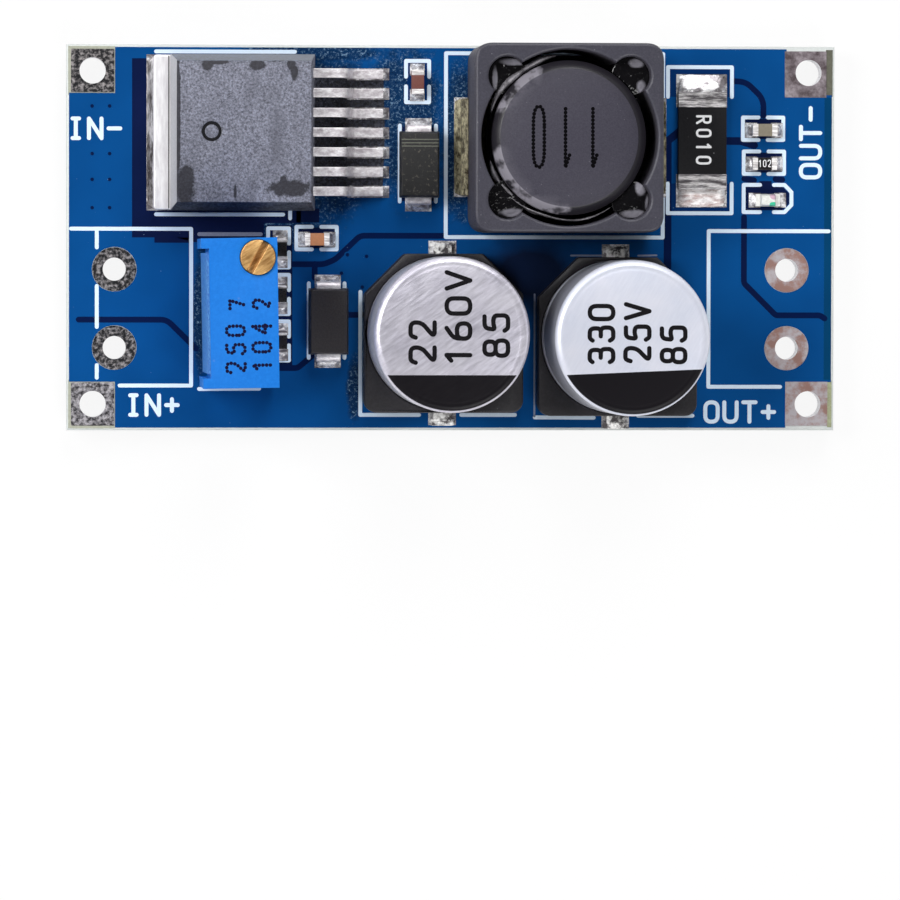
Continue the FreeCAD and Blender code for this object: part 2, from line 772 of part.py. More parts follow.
# Electrolytic capacitors: a can crimped above its base, and two flat leads in the base's slots
def electrolytic(name, x, y):
    """One capacitor with its leads along Y."""
    radius = cell("can_diameter") / 2
    neck = cell("can_neck") / 2
    floor = cell("base_lift") + cell("base_floor")
    top = cell("can_top") - cell("plating")
    edge = cell("can_edge")
    crimp = (cell("can_neck_low") + cell("can_neck_high")) / 2
    can = turned(name + "_can", [
        (0, floor), (radius, floor), (radius, cell("can_neck_low")), (neck, crimp),
        (radius, cell("can_neck_high")), (radius, top - edge), (radius - edge, top), (0, top),
    ])
    place(can, x, y, seat)
    node(can, name + "_can")

    half = cell("base_side") / 2
    cut_off = cell("base_chamfer")
    base = new_body(name + "_base")
    plan = draw(base, name + "_base_plan", "XY_Plane")
    polygon(plan, [
        (-half, -half), (half, -half), (half, half - cut_off), (half - cut_off, half),
        (cut_off - half, half), (-half, half - cut_off),
    ])
    pad(base, plan, cell("base_height"))
    dress(base, "Fillet", name + "_base_corners", cell("base_corner"),
          lambda edge, middle: upright(edge) and near(middle.y, -half))
    well = draw(base, name + "_base_well", "XY_Plane", cell("base_height"))
    circle(well, radius + cell("can_clearance"))
    pocket(base, well, cell("base_height") - cell("base_floor"))
    slot_width = cell("can_lead_width") + cell("slot_clearance") * 2
    for side in (-1, 1):
        inner = cell("can_lead_pitch") / 2 - cell("can_lead_stub") / 2 - cell("slot_clearance")
        slot = draw(base, "%s_slot_%d" % (name, side + 1), "XY_Plane")
        rectangle(slot, slot_width, half - inner, 0, (half + inner) / 2 * side)
        pocket(base, slot, cell("can_lead_thickness"), upward=True)
        hole = draw(base, "%s_stub_hole_%d" % (name, side + 1), "XY_Plane")
        rectangle(hole, slot_width, cell("can_lead_stub") + cell("slot_clearance") * 2,
                  0, cell("can_lead_pitch") / 2 * side)
        pocket(base, hole, cell("base_floor") + cell("slot_clearance"), upward=True)
    place(base, x, y, seat + cell("base_lift"))
    node(base, name + "_base")

    thick = cell("can_lead_thickness")
    stub_in = cell("can_lead_pitch") / 2 - cell("can_lead_stub") / 2
    stub_out = cell("can_lead_pitch") / 2 + cell("can_lead_stub") / 2
    out = cell("can_lead_reach")
    leads = []
    for side, turn in (("a", 90), ("b", -90)):
        sign = 1 if turn > 0 else -1
        lead = strip("%s_lead_%s" % (name, side), [
            (stub_in, 0), (out, 0), (out, thick), (stub_out, thick), (stub_out, floor), (stub_in, floor),
        ], cell("can_lead_width"))
        leads.append(place(lead, x, y, seat, turn))
        reach = cell("can_solder_reach")
        land(lead.Name, x, y + (stub_out + out + reach) / 2 * sign, cell("can_land_width"), out + reach - stub_out)
        bead("capacitor", lead.Name, x, y + out * sign, turn, cell("can_solder_width"),
             height=cell("can_solder_height"), reach=reach)
    node(group(name + "_lead_pair", leads), name + "_leads")


electrolytic("input_capacitor", cell("input_capacitor_x"), cell("input_capacitor_y"))
electrolytic("output_capacitor", cell("output_capacitor_x"), cell("output_capacitor_y"))


# Two-ended parts: a body between wrap-around end caps
def end_caps(name, x, y, turn, length, width, height, band, wrap, kind, reach):
    """A pair of metal caps, their lands and their solder; returns the body's inner block."""
    core_block = box(name + "_space", (length - wrap * 2, width, height - wrap * 2),
                     (wrap - length / 2, -width / 2, wrap))
    caps = []
    for side, start in (("a", -length / 2), ("b", length / 2 - band)):
        cap_block = box("%s_cap_block_%s" % (name, side), (band, width, height), (start, -width / 2, 0))
        caps.append(cut("%s_cap_%s" % (name, side), cap_block, [core_block]))
    pair = place(group(name + "_cap_pair", caps), x, y, seat, turn)
    across = math.radians(turn)
    for side, sign in (("a", -1), ("b", 1)):
        out = length / 2 * sign
        dx = round(math.cos(across))
        dy = round(math.sin(across))
        middle = (length / 2 - band + (band + reach) / 2) * sign
        size = (band + reach, width + cell("land_margin") * 2)
        if dy:
            size = size[::-1]
        land("%s_%s" % (name, side), x + middle * dx, y + middle * dy, *size)
        bead(kind, "%s_%s" % (name, side), x + out * dx, y + out * dy,
             turn + (0 if sign > 0 else 180), width, height=height * cell("cap_solder_share"), reach=reach)
    return node(pair, name + "_terminals")


def chip(name, x, y, turn, height):
    """A chip resistor or capacitor."""
    length = cell("chip_length")
    width = cell("chip_width")
    wrap = cell("chip_wrap")
    band = cell("chip_band")
    end_caps(name, x, y, turn, length, width, height, band, wrap, "chip", cell("solder_reach"))
    core_block = box(name + "_core", (length - wrap * 2, width, height - wrap * 2),
                     (wrap - length / 2, -width / 2, wrap))
    coat = box(name + "_coat", (length - band * 2, width, wrap), (band - length / 2, -width / 2, height - wrap))
    node(place(join(name + "_whole_body", [core_block, coat]), x, y, seat, turn), name + "_body")


for chip_name, (chip_x, chip_y, chip_turn, chip_height) in CHIPS.items():
    if chip_name != "indicator_lamp":
        chip(chip_name, cell(chip_name + "_x"), cell(chip_name + "_y"), chip_turn, cell(chip_height))


# Indicator lamp: a carrier with end caps and a clear drafted lens
lamp_x = cell("indicator_lamp_x")
lamp_y = cell("indicator_lamp_y")
lamp_top = cell("lamp_height")
chip("indicator_lamp", lamp_x, lamp_y, 0, lamp_top)
lens = new_body("indicator_lamp_lens")
lens_low = draw(lens, "lens_foot", "XY_Plane", lamp_top)
lens_high = draw(lens, "lens_top", "XY_Plane", lamp_top + cell("lamp_lens_height"))
for sketch, trim in ((lens_low, 0), (lens_high, cell("lamp_lens_draft") * 2)):
    rectangle(sketch, cell("lamp_lens_length") - trim, cell("chip_width") - trim)
loft(lens, "lens_draft", lens_low, lens_high)
place(lens, lamp_x, lamp_y, seat)
node(lens, "indicator_lamp_lens")


# Current shunt
shunt_x = cell("shunt_x")
shunt_y = cell("shunt_y")
shunt_wrap = cell("shunt_wrap")
end_caps("shunt", shunt_x, shunt_y, 90, cell("shunt_length"), cell("shunt_width"), cell("shunt_height"),
         cell("shunt_band"), shunt_wrap, "shunt", cell("shunt_solder_reach"))
shunt_core = box("shunt_core",
                 (cell("shunt_length") - shunt_wrap * 2, cell("shunt_width"), cell("shunt_height") - shunt_wrap * 2),
                 (shunt_wrap - cell("shunt_length") / 2, -cell("shunt_width") / 2, shunt_wrap))
shunt_coat = box("shunt_coat", (cell("shunt_length") - cell("shunt_band") * 2, cell("shunt_width"), shunt_wrap),
                 (cell("shunt_band") - cell("shunt_length") / 2, -cell("shunt_width") / 2,
                  cell("shunt_height") - shunt_wrap))
node(place(join("shunt_whole_body", [shunt_core, shunt_coat]), shunt_x, shunt_y, seat, 90), "shunt_body")


# Trimmer: the screw's worm turns a toothed wheel whose wiper sweeps a resistive track
def at_trimmer(part):
    """Puts a trimmer piece, modelled about the trimmer's own foot, on the board."""
    return place(part, cell("trimmer_x"), cell("trimmer_y"), board_top, trimmer_turn)


half_w = cell("trimmer_width") / 2
half_l = cell("trimmer_length") / 2
tall = cell("trimmer_height")
lift = cell("trimmer_lift")
post = cell("trimmer_foot")
screw_x = half_w - cell("screw_inset")
screw_y = half_l - cell("screw_inset")
shank_r = cell("screw_head") / 2
worm_r = cell("worm_diameter") / 2
gap = cell("running_clearance")
inner_right = half_w - cell("trimmer_wall")
recess_x = cell("trimmer_recess") - half_w
element_half = cell("element_thickness") / 2
wheel_z = cell("wheel_centre_z")
wheel_r = screw_y - worm_r - gap
wheel_half = cell("wheel_thickness") / 2
pivot_r = cell("wheel_pivot") / 2
shank_foot = tall - cell("screw_shank")

housing_block = block("housing_block", (half_w * 2, half_l * 2, tall), (0, 0, 0))
under_x = box("housing_under_x", (half_w * 2, (half_l - post) * 2, lift), (-half_w, post - half_l, 0))
under_y = box("housing_under_y", ((half_w - post) * 2, half_l * 2, lift), (post - half_w, -half_l, 0))
side_recess = box("housing_recess", (cell("trimmer_recess"), (half_l - post) * 2, tall),
                  (-half_w, post - half_l, 0))
cavity = box("housing_cavity", (element_half - recess_x, cell("trimmer_cavity"), cell("element_top")),
             (recess_x, -cell("trimmer_cavity") / 2, 0))
chamber = rod_x("housing_chamber", wheel_r + cell("chamber_clearance"), inner_right - element_half,
                (element_half, 0, wheel_z))
screw_bore = rod("housing_screw_bore", shank_r + gap, cell("screw_shank") + gap,
                 (screw_x, screw_y, shank_foot - gap))
worm_bore = rod("housing_worm_bore", worm_r + cell("chamber_clearance"), shank_foot - cell("worm_end") + gap,
                (screw_x, screw_y, cell("worm_end") - gap))
hollow = cut("housing_hollow", housing_block,
             [under_x, under_y, side_recess, cavity, chamber, screw_bore, worm_bore])
pivot = rod_x("housing_pivot", pivot_r, wheel_half * 2 + gap * 2, (inner_right - wheel_half * 2 - gap * 2, 0, wheel_z))
node(at_trimmer(join("trimmer_case", [hollow, pivot])), "trimmer_housing")

element_bottom = cell("element_bottom")
element = box("element_plate", (element_half * 2, cell("trimmer_cavity"), cell("element_top") - element_bottom),
              (-element_half, -cell("trimmer_cavity") / 2, element_bottom))
node(at_trimmer(group("element_in_place", [element])), "trimmer_element")

pin_width = cell("pin_width")
pin_length = element_bottom + board_top + cell("pin_tail")
pins = [
    block("trimmer_pin_%d" % (step + 1), (pin_width, pin_width, pin_length),
          (0, cell("pin_pitch") * step, -board_top - cell("pin_tail")))
    for step in pin_steps
]
node(at_trimmer(group("trimmer_pin_set", pins)), "trimmer_pins")

fill_back = box("potting_back", (-element_half - recess_x, cell("trimmer_cavity"), cell("element_top") - lift),
                (recess_x, -cell("trimmer_cavity") / 2, lift))
fill_foot = box("potting_foot", (element_half * 2, cell("trimmer_cavity"), element_bottom - lift),
                (-element_half, -cell("trimmer_cavity") / 2, lift))
node(at_trimmer(cut("potting_around_pins", join("potting_blank", [fill_back, fill_foot]), pins)),
     "trimmer_potting")

neck_top = tall - cell("screw_neck_drop")
neck_low = neck_top - cell("screw_neck_height")
neck_r = cell("screw_neck") / 2
head_top = tall + cell("screw_proud")
screw = turned("screw_blank", [
    (0, cell("worm_end")), (worm_r, cell("worm_end")), (worm_r, shank_foot), (shank_r, shank_foot),
    (shank_r, neck_low), (neck_r, neck_low), (neck_r, neck_top), (shank_r, neck_top),
    (shank_r, head_top), (0, head_top),
])
slot = block("screw_slot", (cell("screw_head") + gap * 2, cell("screw_slot_width"), cell("screw_slot_depth")),
             (0, 0, head_top - cell("screw_slot_depth")))
slot_turner = place(group("screw_slot_turned", [slot]), 0, 0, 0, cell("screw_slot_angle"))
slotted = cut("screw_slotted", screw, [slot_turner])
place(slotted, screw_x, screw_y, 0)
node(at_trimmer(group("screw_in_place", [slotted])), "trimmer_screw")

seal_half = (neck_top - neck_low) / 2
seal = turned("screw_seal_ring", [
    (neck_r, neck_low + seal_half), ((neck_r + shank_r) / 2, neck_low), (shank_r, neck_low + seal_half),
    ((neck_r + shank_r) / 2, neck_top),
])
place(seal, screw_x, screw_y, 0)
node(at_trimmer(group("seal_in_place", [seal])), "trimmer_seal")

# The wheel is drawn about its own axis and then laid along X
teeth = int(SIZES["wheel_teeth"])
wheel = new_body("wheel_blank")
disc = draw(wheel, "wheel_disc", "XY_Plane")
circle(disc, wheel_r)
circle(disc, pivot_r + gap / 2)
pad(wheel, disc, wheel_half * 2)
tooth_gap = draw(wheel, "wheel_tooth_gap", "XY_Plane")
root_r = wheel_r - cell("wheel_tooth_depth")
half_step = math.pi / teeth
gap_at_root = root_r * half_step * cell("tooth_gap_root_share")
gap_at_tip = wheel_r * half_step * cell("tooth_gap_tip_share")
polygon(tooth_gap, [
    (root_r, -gap_at_root), (wheel_r + gap, -gap_at_tip), (wheel_r + gap, gap_at_tip), (root_r, gap_at_root),
])
first_gap = pocket(wheel, tooth_gap, wheel_half * 2, upward=True)
ring = wheel.newObject("PartDesign::PolarPattern", "wheel_teeth")
ring.Originals = [first_gap]
ring.Axis = (tooth_gap, ["N_Axis"])
ring.Angle = 360
ring.Occurrences = teeth
ring.setExpression("Occurrences", "Sizes.wheel_teeth")
wheel.Tip = ring
wheel_group = group("wheel_laid", [wheel])
wheel_group.Placement = FreeCAD.Placement(
    FreeCAD.Vector(number(screw_x - wheel_half), 0, number(wheel_z)),
    FreeCAD.Rotation(FreeCAD.Vector(0, 1, 0), 90),
)
wheel_group.setExpression("Placement.Base.x", (screw_x - wheel_half).text)
wheel_group.setExpression("Placement.Base.z", wheel_z.text)
node(at_trimmer(group("wheel_in_place", [wheel_group])), "trimmer_wheel")

wiper_x = screw_x - wheel_half - cell("wiper_thickness")
contact_length = wiper_x - element_half - gap / 2
contact_width = cell("wiper_width") / 2
wiper_bar = box("wiper_bar", (cell("wiper_thickness"), cell("wiper_width"),
                              cell("track_radius") + cell("wiper_width")),
                (wiper_x, -cell("wiper_width") / 2, wheel_z - cell("wiper_width") / 2))
wiper_tip, wiper_hub = [
    box("wiper_" + finger, (contact_length, contact_width, contact_width),
        (wiper_x - contact_length, -contact_width / 2, wheel_z + radius - contact_width / 2))
    for finger, radius in (("tip", cell("track_radius")), ("hub", 0))
]
node(at_trimmer(join("wiper_whole", [wiper_bar, wiper_tip, wiper_hub])), "trimmer_wiper")

dome_r = cell("solder_dome")
joints = []
for step, pin in zip(pin_steps, pins):
    fill = turned("solder_fill_%d" % (step + 1), [
        (0, -board_top - dome_r), (dome_r * cell("solder_dome_crown"), -board_top - dome_r), (dome_r, -board_top),
        (cell("pin_hole") / 2, -board_top), (cell("pin_hole") / 2, 0), (0, 0),
    ])
    place(fill, 0, cell("pin_pitch") * step, 0)
    joints.append(cut("solder_joint_%d" % (step + 1), fill, [pin]))
node(at_trimmer(group("trimmer_joint_set", joints)), "trimmer_solder")


node(group("land_set", lands), "solder_lands")
for kind, beads in solder.items():
    node(group(kind + "_bead_set", beads), kind + "_solder")

doc.recompute()
for item in doc.Objects:
    if "Invalid" in item.State or "Error" in item.State:
        raise RuntimeError("failed: " + item.Name)
os.makedirs("parts", exist_ok=True)
for part in nodes:
    if part.Shape.isNull() or not part.Shape.isValid():
        raise RuntimeError("bad shape: " + part.Label)
for part in nodes:
    part.Shape.exportStep("parts/" + part.Label + ".step")
    print("%-32s solids %2d  volume %9.3f" % (part.Label, len(part.Shape.Solids), part.Shape.Volume))
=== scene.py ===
import math
import random

import bpy
from mathutils import Euler, Matrix, Vector
from mathutils.geometry import delaunay_2d_cdt


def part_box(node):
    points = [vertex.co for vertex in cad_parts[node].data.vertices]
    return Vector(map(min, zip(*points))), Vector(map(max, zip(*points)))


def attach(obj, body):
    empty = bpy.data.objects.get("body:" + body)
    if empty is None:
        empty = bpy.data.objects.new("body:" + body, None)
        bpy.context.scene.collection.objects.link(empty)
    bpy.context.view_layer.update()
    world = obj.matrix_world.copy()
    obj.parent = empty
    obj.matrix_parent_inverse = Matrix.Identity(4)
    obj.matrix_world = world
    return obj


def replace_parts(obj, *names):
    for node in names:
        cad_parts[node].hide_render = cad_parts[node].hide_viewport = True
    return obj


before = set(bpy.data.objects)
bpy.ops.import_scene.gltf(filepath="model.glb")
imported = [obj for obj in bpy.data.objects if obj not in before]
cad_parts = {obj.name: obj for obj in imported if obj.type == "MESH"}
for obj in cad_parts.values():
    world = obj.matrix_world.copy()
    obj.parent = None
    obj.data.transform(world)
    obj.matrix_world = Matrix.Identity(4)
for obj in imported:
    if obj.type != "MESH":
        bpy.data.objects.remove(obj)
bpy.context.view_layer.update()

# Lengths below are millimetres in the frame of the part; MM turns them into metres.
MM = 0.001
BOARD_TOP = 1.6
MASK_TOP = 1.625
LAND_TOP = 1.65
INK = 0.25


# Materials: a small builder that feeds shader nodes with positions in millimetres
def rgb(red, green, blue):
    """A colour as the eye names it, from 0 to 255, turned into linear light."""
    def linear(value):
        value = value / 255
        return value / 12.92 if value <= 0.04045 else ((value + 0.055) / 1.055) ** 2.4
    return (linear(red), linear(green), linear(blue), 1.0)


def grey(level):
    """A plain level as a colour."""
    return (level, level, level, 1)


def feed(tree, value, socket):
    """Links a socket to an input, or sets the input to a plain value."""
    if isinstance(value, bpy.types.NodeSocket):
        tree.links.new(value, socket)
    else:
        socket.default_value = value


def add_node(tree, kind, feeds=None, **settings):
    """A shader node with its settings and what feeds its inputs."""
    node = tree.nodes.new("ShaderNode" + kind)
    for name, value in settings.items():
        setattr(node, name, value)
    for name, value in (feeds or {}).items():
        feed(tree, value, node.inputs[name])
    return node


def combine(tree, operation, first, second):
    """Two numbers joined by a math node."""
    return add_node(tree, "Math", {0: first, 1: second}, operation=operation).outputs[0]


class Finish:
    """A procedural material."""

    def __init__(self, name, metallic=0.0, specular=0.5):
        self.material = bpy.data.materials.new(name)
        self.material.use_nodes = True
        self.tree = self.material.node_tree
        self.shader = self.tree.nodes["Principled BSDF"]
        self.shader.inputs["Metallic"].default_value = metallic
        self.shader.inputs["Specular IOR Level"].default_value = specular
        place = add_node(self.tree, "TexCoord").outputs["Object"]
        self.place = self.vector("SCALE", place, Scale=1 / MM)

    def vector(self, operation, first, second=None, **named):
        feeds = {0: first, **named} if second is None else {0: first, 1: second}
        node = add_node(self.tree, "VectorMath", feeds, operation=operation)
        return node.outputs["Value"] if operation in ("LENGTH", "DOT_PRODUCT") else node.outputs[0]

    def math(self, operation, first, second):
        return combine(self.tree, operation, first, second)

    def times(self, first, second):
        return self.math("MULTIPLY", first, second)

    def stretched(self, scale=(1, 1, 1), turn=0.0):
        """Positions turned about Z and then stretched."""
        feeds = {"Rotation": (0, 0, math.radians(turn)), "Vector": self.place}
        node = add_node(self.tree, "Mapping", feeds, vector_type="TEXTURE")
        return self.vector("MULTIPLY", node.outputs[0], scale)

    def noise(self, scale, detail=3.0, roughness=0.55, place=None, distortion=0.0):
        feeds = {"Scale": scale, "Detail": detail, "Roughness": roughness, "Distortion": distortion}
        return add_node(self.tree, "TexNoise", {**feeds, "Vector": place or self.place}).outputs[0]

    def cells(self, scale):
        """Distance to the nearest of many scattered points."""
        return add_node(self.tree, "TexVoronoi", {"Scale": scale, "Vector": self.place}).outputs["Distance"]

    def ramp(self, factor, *stops):
        """Colours or grey levels along a factor."""
        node = add_node(self.tree, "ValToRGB", {0: factor})
        band = node.color_ramp
        while len(band.elements) < len(stops):
            band.elements.new(1.0)
        for element, (spot, colour) in zip(band.elements, stops):
            element.position = spot
            element.color = colour if isinstance(colour, tuple) else grey(colour)
        return node.outputs[0]

    def rise(self, factor, low, high, top=1.0):
        """From nothing at one stop up to a level at the next."""
        return self.ramp(factor, (low, 0.0), (high, top))

    def fall(self, factor, low, high, top=1.0):
        """From a level at one stop down to nothing at the next."""
        return self.ramp(factor, (low, top), (high, 0.0))

    def mix(self, factor, low, high):
        feeds = {"Factor": factor, "A": low, "B": high}
        return add_node(self.tree, "Mix", feeds, data_type="RGBA").outputs["Result"]

    def bump(self, height, distance):
        """Relief whose height is a distance in millimetres."""
        return add_node(self.tree, "Bump", {"Distance": distance * MM, "Height": height}).outputs[0]

    def upward(self, low=0.93, high=0.98):
        """One where the surface faces up, and nothing where its normal rises less than the low value."""
        normal = add_node(self.tree, "NewGeometry").outputs["Normal"]
        return self.rise(self.vector("DOT_PRODUCT", normal, (0, 0, 1)), low, high)

    def near(self, x, y, reach_x, reach_y, ragged=0.5, scale=1.2, soft=0.08):
        """One inside an oval round a point, with a torn edge."""
        offset = self.vector("SUBTRACT", self.place, (x, y, 0))
        span = self.vector("LENGTH", self.vector("MULTIPLY", offset, (1 / reach_x, 1 / reach_y, 0)))
        torn = self.times(self.math("SUBTRACT", self.noise(scale, 4.0, 0.65), 0.5), ragged * 2)
        return self.rise(self.math("ADD", self.math("SUBTRACT", 1.0, span), torn), 0.0, soft)

    def most(self, factors):
        """The largest of several factors."""
        result = factors[0]
        for factor in factors[1:]:
            result = self.math("MAXIMUM", result, factor)
        return result

    def done(self, colour, roughness, normal):
        for name, value in (("Base Color", colour), ("Roughness", roughness), ("Normal", normal)):
            feed(self.tree, value, self.shader.inputs[name])
        return self.material


def solder_mask(name, colour, shade, stains=(), shadows=()):
    """Smooth glossy mask whose tone drifts, with dust, speckled flux where parts were soldered and painted
    shade in the shadow ovals.
    """
    finish = Finish(name, specular=0.1)
    tone = finish.mix(finish.rise(finish.noise(0.16, 2.0), 0.35, 0.65), colour, shade)
    if stains:
        reach = finish.most([finish.near(*stain, ragged=0.45, scale=0.9, soft=0.4) for stain in stains])
        grain = finish.noise(5.0, 5.0, 0.8)
        tone = finish.mix(finish.times(reach, 0.85), tone, rgb(12, 40, 72))
        clump = finish.times(reach, finish.ramp(finish.noise(1.1, 3.0), (0.38, 0.35), (0.6, 1.0)))
        tone = finish.mix(finish.times(clump, finish.rise(grain, 0.53, 0.64)), tone, rgb(128, 160, 186))
        tone = finish.mix(finish.times(reach, finish.fall(grain, 0.36, 0.43, 0.9)), tone, rgb(8, 16, 40))
    # Painted shade: each shadow oval darkens the mask to navy where shade falls between parts
    if shadows:
        reach = finish.most([finish.near(*shadow, ragged=0.12, scale=0.5, soft=0.55) for shadow in shadows])
        tone = finish.mix(finish.times(reach, 0.92), tone, rgb(15, 20, 42))
    dust = finish.fall(finish.cells(1.5), 0.0, 0.05)
    rare = finish.rise(finish.noise(0.8, 1.0), 0.54, 0.58, 0.8)
    tone = finish.mix(finish.times(dust, rare), tone, rgb(150, 185, 215))
    return finish.done(tone, 0.28, finish.bump(finish.noise(2.2, 2.0), 0.01))


def tinned(name, low, high, scale=9.0, metallic=0.9, rough=(0.25, 0.5), relief=0.015, stretch=(1, 1, 1),
           turn=0.0, spread=(0.36, 0.64)):
    """Tin or solder: blotches between two tones with a matching relief."""
    finish = Finish(name, metallic=metallic)
    place = finish.stretched(stretch, turn)
    blotch = finish.noise(scale, 5.0, 0.65, place)
    fine = finish.noise(scale * 3.5, 3.0, 0.6, place)
    tone = finish.mix(finish.rise(blotch, *spread), low, high)
    tone = finish.mix(finish.rise(fine, 0.45, 0.7, 0.5), tone, low)
    height = finish.math("ADD", blotch, finish.times(fine, 0.35))
    return finish.done(tone, finish.ramp(blotch, (0.35, rough[0]), (0.65, rough[1])),
                       finish.bump(height, relief))


def speckled_plastic(name, base, light, rough=0.55, grain=18.0, relief=0.012, flakes=0.35, specular=0.4,
                     drawn=1.0):
    """Moulded plastic or ferrite: a fine grain that may be drawn out along Z, and a few paler flecks."""
    finish = Finish(name, specular=specular)
    fine = finish.noise(grain, 4.0, 0.7, finish.stretched((1.0, 1.0, drawn)))
    broad = finish.noise(0.8, 2.0)
    tone = finish.mix(finish.rise(fine, 0.4, 0.75), base, light)
    tone = finish.mix(finish.rise(broad, 0.35, 0.7, 0.3), tone, base)
    flecks = finish.fall(finish.cells(grain * 0.25), 0.0, 0.11)
    some = finish.rise(finish.noise(grain * 0.12, 1.0), 0.52, 0.62)
    amount = finish.times(finish.times(flecks, some), flakes)
    tone = finish.mix(amount, tone, rgb(190, 190, 195))
    return finish.done(tone, rough, finish.bump(fine, relief))


def plain(name, colour, rough=0.5, metallic=0.0, grain=14.0, vary=0.12, specular=0.5):
    """A quiet finish that still varies a little in tone and relief."""
    finish = Finish(name, metallic, specular)
    fine = finish.noise(grain, 4.0, 0.6)
    darker = tuple(c * (1 - vary) for c in colour[:3]) + (1,)
    tone = finish.mix(finish.rise(fine, 0.35, 0.7), darker, colour)
    gloss = finish.ramp(fine, (0.3, rough * 0.85), (0.7, min(1.0, rough * 1.15)))
    return finish.done(tone, gloss, finish.bump(fine, 0.006))


def regulator_plastic():
    """Moulding compound: a grey ground top with patches worn black at its rim, and one thin line of painted
    shade inside its left edge.
    """
    finish = Finish("regulator_moulding", specular=0.4)
    fine = finish.noise(7.0, 4.0, 0.8)
    smear = finish.noise(0.9, 4.0, 0.6, finish.stretched((1.0, 0.4, 1.0)), 0.4)
    top = finish.mix(finish.rise(fine, 0.36, 0.66), rgb(64, 65, 76), rgb(148, 151, 168))
    top = finish.mix(finish.rise(smear, 0.46, 0.74, 0.5), top, rgb(66, 66, 76))
    band = finish.near(-11.55, 6.6, 0.7, 4.2, 0.5, 1.2, 0.8)
    top = finish.mix(finish.times(band, 0.45), top, rgb(70, 71, 82))
    # Worn patches at the rim; the long thin one just inside the left edge is painted shade
    patches = finish.most([finish.near(*patch, 0.6, 2.0, 0.24) for patch in (
        (-16.0, 11.1, 0.42, 0.42), (-15.2, 11.3, 0.8, 0.26), (-12.75, 11.1, 0.62, 0.4),
        (-11.6, 11.4, 0.95, 0.16), (-10.6, 11.1, 0.32, 0.36), (-10.42, 10.6, 0.24, 0.6),
        (-17.45, 3.35, 0.72, 1.55), (-10.7, 3.15, 1.6, 0.6), (-11.1, 3.6, 0.3, 0.45),
        (-14.2, 2.95, 0.1, 0.5), (-17.85, 7.6, 0.16, 4.9))])
    worn_and_shaded_tone = finish.mix(finish.rise(fine, 0.4, 0.7), rgb(30, 30, 38), rgb(54, 54, 64))
    tone = finish.mix(patches, top, worn_and_shaded_tone)
    torn = finish.most([finish.near(x, 11.42, reach, 0.13, 0.5, 2.2, 0.1)
                        for x, reach in ((-15.3, 0.8), (-11.6, 1.0))])
    return finish.done(finish.mix(torn, tone, rgb(22, 21, 26)), 0.6, finish.bump(fine, 0.02))


def inductor_ferrite():
    """Pressed ferrite of the drum; its rim is painted dark as shade, with glue streaks on the left that are
    partly a painted highlight.
    """
    finish = Finish("inductor_ferrite", specular=0.25)
    fine = finish.noise(12.0, 4.0, 0.7)
    tone = finish.mix(finish.rise(fine, 0.4, 0.75), rgb(57, 55, 66), rgb(70, 68, 80))
    flecks = finish.fall(finish.cells(2.6), 0.0, 0.08)
    some = finish.rise(finish.noise(1.3, 1.0), 0.5, 0.58, 0.7)
    tone = finish.mix(finish.times(flecks, some), tone, rgb(170, 168, 176))
    # Painted shade and highlight: faces that do not look up are dark as in shadow, with glue streaks lit on the
    # left
    rim = finish.math("SUBTRACT", 1.0, finish.upward())
    streak = finish.rise(finish.noise(0.8, 3.0, 0.6), 0.4, 0.52)
    side = finish.most([finish.near(*spot, 0.3, 0.8, 0.2) for spot in (
        (3.4, 10.0, 2.0, 2.4), (3.2, 3.6, 1.7, 2.6), (5.4, 2.0, 2.0, 0.8))])
    rim_glue_and_painted_light = finish.mix(finish.times(streak, side), rgb(34, 32, 38), rgb(134, 131, 140))
    gloss = finish.mix(rim, grey(0.5), grey(0.28))
    return finish.done(finish.mix(rim, tone, rim_glue_and_painted_light), gloss, finish.bump(fine, 0.01))


def inductor_glue():
    """Black glue in the corner pockets, with grey skins where it bulges and a few bright specks."""
    finish = Finish("cured_glue", specular=0.5)
    skins = finish.most([finish.near(*skin, 0.35, 1.3, 0.4) for skin in (
        (3.6, 11.25, 1.0, 0.26), (2.35, 10.2, 0.2, 0.8), (11.4, 11.2, 0.55, 0.34), (11.75, 9.65, 0.36, 0.55),
        (11.7, 3.2, 0.4, 0.6), (11.3, 1.5, 1.0, 0.34), (12.2, 2.2, 0.24, 0.7), (3.5, 1.6, 0.95, 0.3))])
    tone = finish.mix(skins, rgb(11, 10, 13), rgb(124, 122, 131))
    specks = finish.rise(finish.noise(6.0, 4.0, 0.8), 0.62, 0.7, 0.8)
    near_side = finish.most([finish.near(*spot, 0.3, 1.2, 0.5) for spot in (
        (2.4, 2.6, 1.2, 1.8), (2.2, 9.6, 0.9, 1.2))])
    tone = finish.mix(finish.times(specks, near_side), tone, rgb(190, 188, 186))
    gloss = finish.mix(skins, grey(0.16), grey(0.4))
    return finish.done(tone, gloss, finish.bump(finish.noise(0.9, 3.0, 0.6), 0.2))


